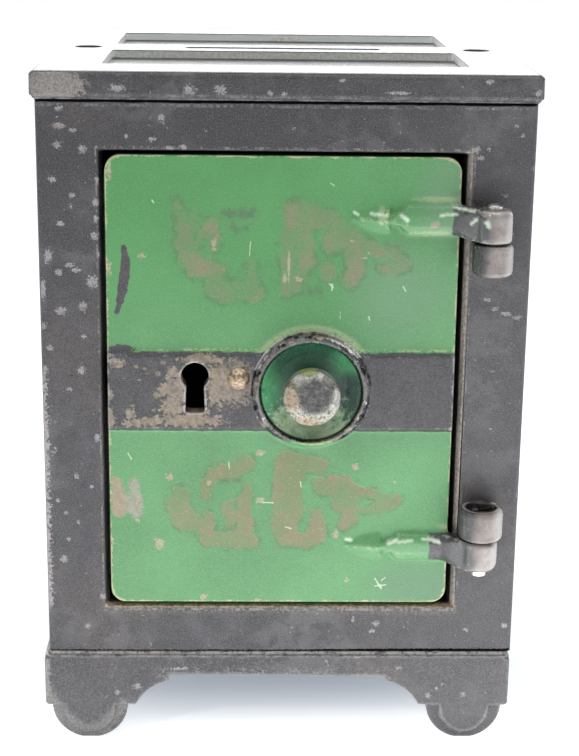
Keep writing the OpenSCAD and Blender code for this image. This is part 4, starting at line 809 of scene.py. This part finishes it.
# painted highlights in arcs along the rim, with streaks of bright rubbed metal
rim_glint_and_wear = (at.strokes(RIMLIGHT) + 0.1 + ragged * 1.6).rise(-0.15, 0.3)
rim_glint_and_wear = rim_glint_and_wear.either(streak.rise(0.63, 0.7) * 0.6) * rim
tan = (at.spots(RIMCHIP) + ragged * 1.8).rise(0.0, 0.5) * rim
knuckle = (x + slow * 3).rise(38.9, 40.6) * (1 - y.rise(-48.6, -48.0))
flakes = (crumb + broad * 0.3).rise(0.87, 0.93)
iron = mixed((at.noise(0.11, 2.0) + ragged * 0.4).rise(0.44, 0.58), BARE_RED, BARE_YELLOW)
iron = mixed(crumb.rise(0.42, 0.64), iron, BARE_PALE)
iron = mixed((1 - bits.rise(0.32, 0.46)) * 0.75, iron, BARE_BITS)
iron = mixed((1 - broad.rise(0.38, 0.5)) * 0.6, iron, BARE_SHADE)
skin = mixed((bare * 0.92).either(flakes * 0.6), skin, iron)
skin = mixed(tan * 0.8, skin, RIM_TAN)
skin = mixed(rim_glint_and_wear * 0.9, skin, RIM_SILVER_HIGHLIGHT)
# the door's knuckles: bare iron with a painted highlight on the right and painted shade on the left
skin = mixed(knuckle * 0.92, skin, knuckle_colour(x, soft, crumb, 0.65, DOOR_KNUCKLE_SHADE))
# chips, rubbed edges, the keyhole's edge, the seam below the boss, painted glints as highlights, and
# scratches
rust = (at.spots(CHIPS) + ragged * 2.2 + speckled * 1.2 + wavy * 0.7).rise(0.05, 0.5)
skin = mixed(rust * 0.8, skin, mixed(grain.rise(0.38, 0.62), CHIP_RUST, CHIP_PALE))
rubbed = (bend * 1.6 + ragged * 2.0 + slow * 1.2).rise(0.22, 0.6) * bend.rise(0.04, 0.14)
outline = x.within(-35.2, 34.0, 0.6) * z.within(33.2, 127.2, 0.6)
skin = mixed(rubbed * (0.8 - outline * 0.4), skin, mixed(black_zone, EDGE_CREAM, EDGE_IRON))
keyed = at.spots(KEYHOLE).rise(0.0, 0.05) * bend.rise(0.16, 0.3) * (crumb + 0.1).rise(0.44, 0.6)
keyed = keyed * (0.35 + (80 - z).rise(-2, 3) * 0.45)
skin = mixed(keyed, skin, KEY_EDGE)
seamed = (z + wave * 3).rise(74, 78) * (crumb + slow * 0.8).rise(0.42, 0.54)
skin = mixed(from_boss.within(12.0, 12.45, 0.12) * seamed * 0.8, skin, SEAM)
skin = mixed((at.strokes(GLINTS) + ragged * 0.8).rise(-0.45, 0.4) * 0.8, skin, GLINT)
skin = mixed((at.strokes(SCRATCHES) + ragged * 0.3).rise(0.0, 0.1) * 0.7, skin, SCRATCH)
# the inner face is plain: thin black paint with rust coming through
outer = 1 - y.rise(-44.1, -43.8)
plain = mixed(grain.rise(0.4, 0.64), INNER, INNER_GRAIN)
plain = mixed((broad + ragged * 0.9).rise(0.5, 0.68) * 0.55, plain, INNER_RUST)
plain = mixed((bits + slow * 0.4).rise(0.6, 0.68) * 0.5, plain, INNER_BITS)
skin = mixed(outer, plain, skin)
metal = (knuckle * 0.5 + bare * 0.4) * 0.45
feed(shader, Base_Color=skin, IOR=PAINT_IOR, Metallic=metal.either(pit).either(groove * 0.9) * outer)
shiny = (1 - y.rise(-47.9, -47.3)) * x.rise(13, 16)
worn = bare.either(ghost_low) * 0.1 - (in_dish * 0.7).either(shiny) * 0.16
feed(shader, Roughness=0.34 + (grain - 0.5) * 0.35 + worn * outer + (1 - outer) * 0.12)
coat = (shiny * (0.3 + x.rise(33, 37) * 0.5)).either(rim * 0.3) * (1 - pit) * outer
feed(shader, Coat_Weight=coat, Coat_Roughness=COAT_ROUGHNESS)
relief = black_zone * 0.3 - bare * 0.4 - ghost_low * 0.2
bumped(shader, grain * 0.6 + fine * 0.45 + relief * outer, DOOR_RELIEF)
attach(door, "door")
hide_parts("door")

# Knob: worn nickel plate, dark in the middle of its face, with green paint left on the stalk.
# It is turned, and its front is filed to eight facets that years of hands have softened.
# Its shank runs through the door and is peened over a washer.
KNOB_GRAIN, KNOB_ROUNDS, KNOB_BEND_ROUNDS, KNOB_RELIEF = 0.00014, 14, 4, 0.00022
# places in millimetres seen from the front: middle and radius of the dark face, then ellipses
FACE, FACE_R = (6.1, 80.5), 3.75
TANNED, STALK_EDGE = [(1.3, 79.8, 2.2, 3.6), (4.6, 74.8, 3.6, 1.5)], [(4.4, 85.4, 3.0, 1.1)]
# painted highlights on the knob's facets at the right and upper corners
KNOB_HIGHLIGHTS = [(11.0, 79.0, 2.6, 3.4), (9.0, 84.3, 2.6, 1.8), (2.8, 84.0, 2.2, 1.8)]
# linear colours
NICKEL_DARK, NICKEL, NICKEL_HIGHLIGHT = (0.085, 0.08, 0.068), (0.38, 0.37, 0.335), (0.56, 0.55, 0.52)
FACE_BLACK, FACE_GREY, NICKEL_EDGE = (0.006, 0.007, 0.009), (0.07, 0.07, 0.073), (0.6, 0.59, 0.56)
TAN_DARK, TAN_PALE = (0.22, 0.15, 0.085), (0.36, 0.28, 0.18)
STALK_DARK, STALK_PALE = (0.06, 0.1, 0.03), (0.22, 0.26, 0.07)

nickel, shader, at = new_material("knob_nickel")
knob = copy_of("knob", "turned_knob", nickel)
remeshed(knob, KNOB_GRAIN, KNOB_ROUNDS)
bpy.ops.object.shade_smooth()
mark_bends(knob, KNOB_BEND_ROUNDS)
grain = at.noise(1.6, 4.0, 0.7)
fine = at.noise(5.0, 3.0, 0.7)
mottle = at.noise(0.8, 4.0, 0.75)
y = at.part("Y")
bend = bend_of(at)
face = (FACE_R - at.away(*FACE) + (grain - 0.5) * 3.0 + (mottle - 0.5) * 2.0).rise(-0.3, 0.6)
face = face * (1 - y.rise(-54.0, -53.0))
tan = (at.spots(TANNED) + (grain - 0.5) * 2.4).rise(0.0, 0.6)
metal = mixed((mottle + (grain - 0.5) * 0.5).rise(0.36, 0.64), NICKEL_DARK, NICKEL)
# painted highlights on the lit facets
metal = mixed(at.spots(KNOB_HIGHLIGHTS).rise(0, 0.6) * 0.4, metal, NICKEL_HIGHLIGHT)
black = mixed((fine + (mottle - 0.5) * 0.5).rise(0.38, 0.62), FACE_BLACK, FACE_GREY)
metal = mixed(face * 0.9, metal, black)
metal = mixed(tan * 0.75, metal, mixed(fine.rise(0.4, 0.6), TAN_DARK, TAN_PALE))
metal = mixed((bend * 0.8 + (grain - 0.5) * 1.6).rise(0.2, 0.6) * 0.25, metal, NICKEL_EDGE)
stalk = y.rise(-51.2, -50.7) * (1 - y.rise(-45.8, -45.2))
stalk = stalk.either((at.spots(STALK_EDGE) + (grain - 0.5)).rise(0.1, 0.4))
metal = mixed(stalk * 0.85, metal, mixed(fine.rise(0.35, 0.6), STALK_DARK, STALK_PALE))
feed(shader, Base_Color=metal, Metallic=0.75 * (1 - face * 0.9) * (1 - tan * 0.6) * (1 - stalk * 0.8))
feed(shader, Roughness=0.24 + mottle * 0.2 + face * 0.1)
bumped(shader, mottle * 0.8 + grain * 0.5 + fine * 0.25, KNOB_RELIEF)
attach(knob, "knob")
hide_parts("knob")


# Fittings: pins, screws, nuts, washers, rivet, bolt and spring, in steel of different ages.
# They are turned and punched. Their bare shapes stay, and only the surface is added.
RUST, HOLE_SHADE, STEEL_RELIEF = (0.16, 0.085, 0.045), (0.008, 0.007, 0.008), 0.00006
PIN_HOLE = (52.6, 53.0)


def steel(name, dark, light, rough, rust_share, dents=0.0, hole=None):
    """Metal with fine scratches, tarnish, a share of rust, dents, and painted shade in black between two
    heights.
    """
    material, shader, at = new_material(name)
    grain = at.noise(1.4, 4.0, 0.6)
    streak = at.vector("MULTIPLY", (0.5, 3.0, 6.0)).noise(1.0, 3.0)
    rust = at.noise(0.7, 4.0, 0.6).rise(0.68 - rust_share, 0.78 - rust_share)
    colour = mixed(grain.rise(0.3, 0.7), dark, light)
    colour = mixed(rust, colour, RUST)
    dull = rust * 0.75
    # painted shade: the top of a pin, sunk in its bore, is black
    if hole:
        hole_shade = at.part("Z").within(*hole, 0.04)
        colour = mixed(hole_shade, colour, HOLE_SHADE)
        dull = dull.either(hole_shade)
    feed(shader, Base_Color=colour, Metallic=1 - dull, Roughness=rough + streak * 0.2 + dull * 0.3)
    bumped(shader, streak * 0.3 + rust * 0.5 + at.noise(0.7, 3.0) * dents, STEEL_RELIEF)
    return material


bright = steel("bright_steel", (0.45, 0.43, 0.4), (0.7, 0.68, 0.64), rough=0.22, rust_share=0.05,
               hole=PIN_HOLE)
dull = steel("dull_steel", (0.16, 0.145, 0.13), (0.3, 0.27, 0.24), rough=0.38, rust_share=0.14)
patina = steel("rivet_patina", (0.2, 0.145, 0.1), (0.47, 0.37, 0.28), rough=0.4, rust_share=0.08,
               dents=9.0)
FITTINGS = [(bright, ["upper_hinge_pin", "lower_hinge_pin", "bolt_spring"]),
            (dull, ["left_tie_screw", "right_tie_screw", "left_tie_nut", "right_tie_nut", "lock_bolt",
                    "knob_washer", "guide_washer", "spring_pin"]),
            (patina, ["guide_rivet"])]
for material, names in FITTINGS:
    for name in names:
        nodes[name].material_slots[0].material = material

# Stage: a pale floor that keeps the bank's shadow, and white all round it.
# The floor's emission is painted light: a pool most just before the bank, and a dim glow that lifts the
# shadow; the world is brightest behind it.
# Three weak lamps light it from above and from both sides.
FLOOR_SIZE = 3
FLOOR_WHITE, FLOOR_CLEAR = (0.84, 0.86, 0.88), (0.88, 0.89, 0.9)
GLOW, SHADOW_GLOW, FAR_GLOW = (3.0, 3.0, 3.0), (0.25, 0.285, 0.33), (0.04, 0.045, 0.05)
SKY_LEAST, SKY_RISE, SKY_BACK = 0.12, 0.6, 4.2
# lamps: name, place, target, width in metres, watts
LAMPS = [
    ("roof", (0, -0.12, 0.5), (0, -0.12, 0), 0.35, 1.8),
    ("key", (-0.42, -0.62, 0.62), (0, -0.05, 0.08), 0.09, 1.2),
    ("side", (0.3, -0.55, 0.75), (0, -0.05, 0.08), 0.09, 0.7)]
bpy.ops.mesh.primitive_plane_add(size=FLOOR_SIZE, location=(0, 0, 0))
floor = bpy.context.object
floor.name = "floor"
white, shader, at = new_material("floor_glow")
x, y, z = (at.part(axis) for axis in "XYZ")
# painted light: the floor glows most just before the bank, a little more to the right
before = (1 - y.rise(-80, -45)) * 0.75 + (1 - y.rise(-54, -16)) * 0.25
before = before * y.rise(-300, -50) * (0.82 + x.rise(-90, 90) * 0.56)
dim_glow = mixed(y.rise(-420, -160), FAR_GLOW, SHADOW_GLOW)
feed(shader, Base_Color=mixed(at.noise(0.004, 2.0), FLOOR_WHITE, FLOOR_CLEAR))
feed(shader, Roughness=0.8 + at.noise(0.01) * 0.1)
feed(shader, Emission_Color=mixed(before, dim_glow, GLOW), Emission_Strength=1.0)
floor.data.materials.append(white)
for name, place, target, width, power in LAMPS:
    lamp = bpy.data.objects.new(name, bpy.data.lights.new(name, "AREA"))
    bpy.context.scene.collection.objects.link(lamp)
    lamp.data.shape = "SQUARE"
    lamp.data.size = width
    lamp.data.energy = power
    lamp.location = place
    lamp.rotation_euler = (Vector(target) - Vector(place)).to_track_quat("-Z", "Y").to_euler()
world = bpy.data.worlds.new("studio")
bpy.context.scene.world = world
world.use_nodes = True
tree = world.node_tree
sky = tree.nodes["Background"]
ahead = Value(tree, None).node("ShaderNodeTexCoord", None, None, "Generated")
seen = ahead.node("ShaderNodeLightPath", None, None, "Is Camera Ray")
back = ahead.part("Y").rise(0.45, 0.85) * (1 - ahead.part("Z").rise(0.35, 0.75))
lit = (ahead.part("Y") * 0.8 + ahead.part("Z") * 0.5).rise(-0.3, 0.8)
tent = SKY_LEAST + lit * SKY_RISE + back * SKY_BACK
sky.inputs["Color"].default_value = (1, 1, 1, 1)
tree.links.new((seen + (1 - seen) * tent).socket, sky.inputs["Strength"])
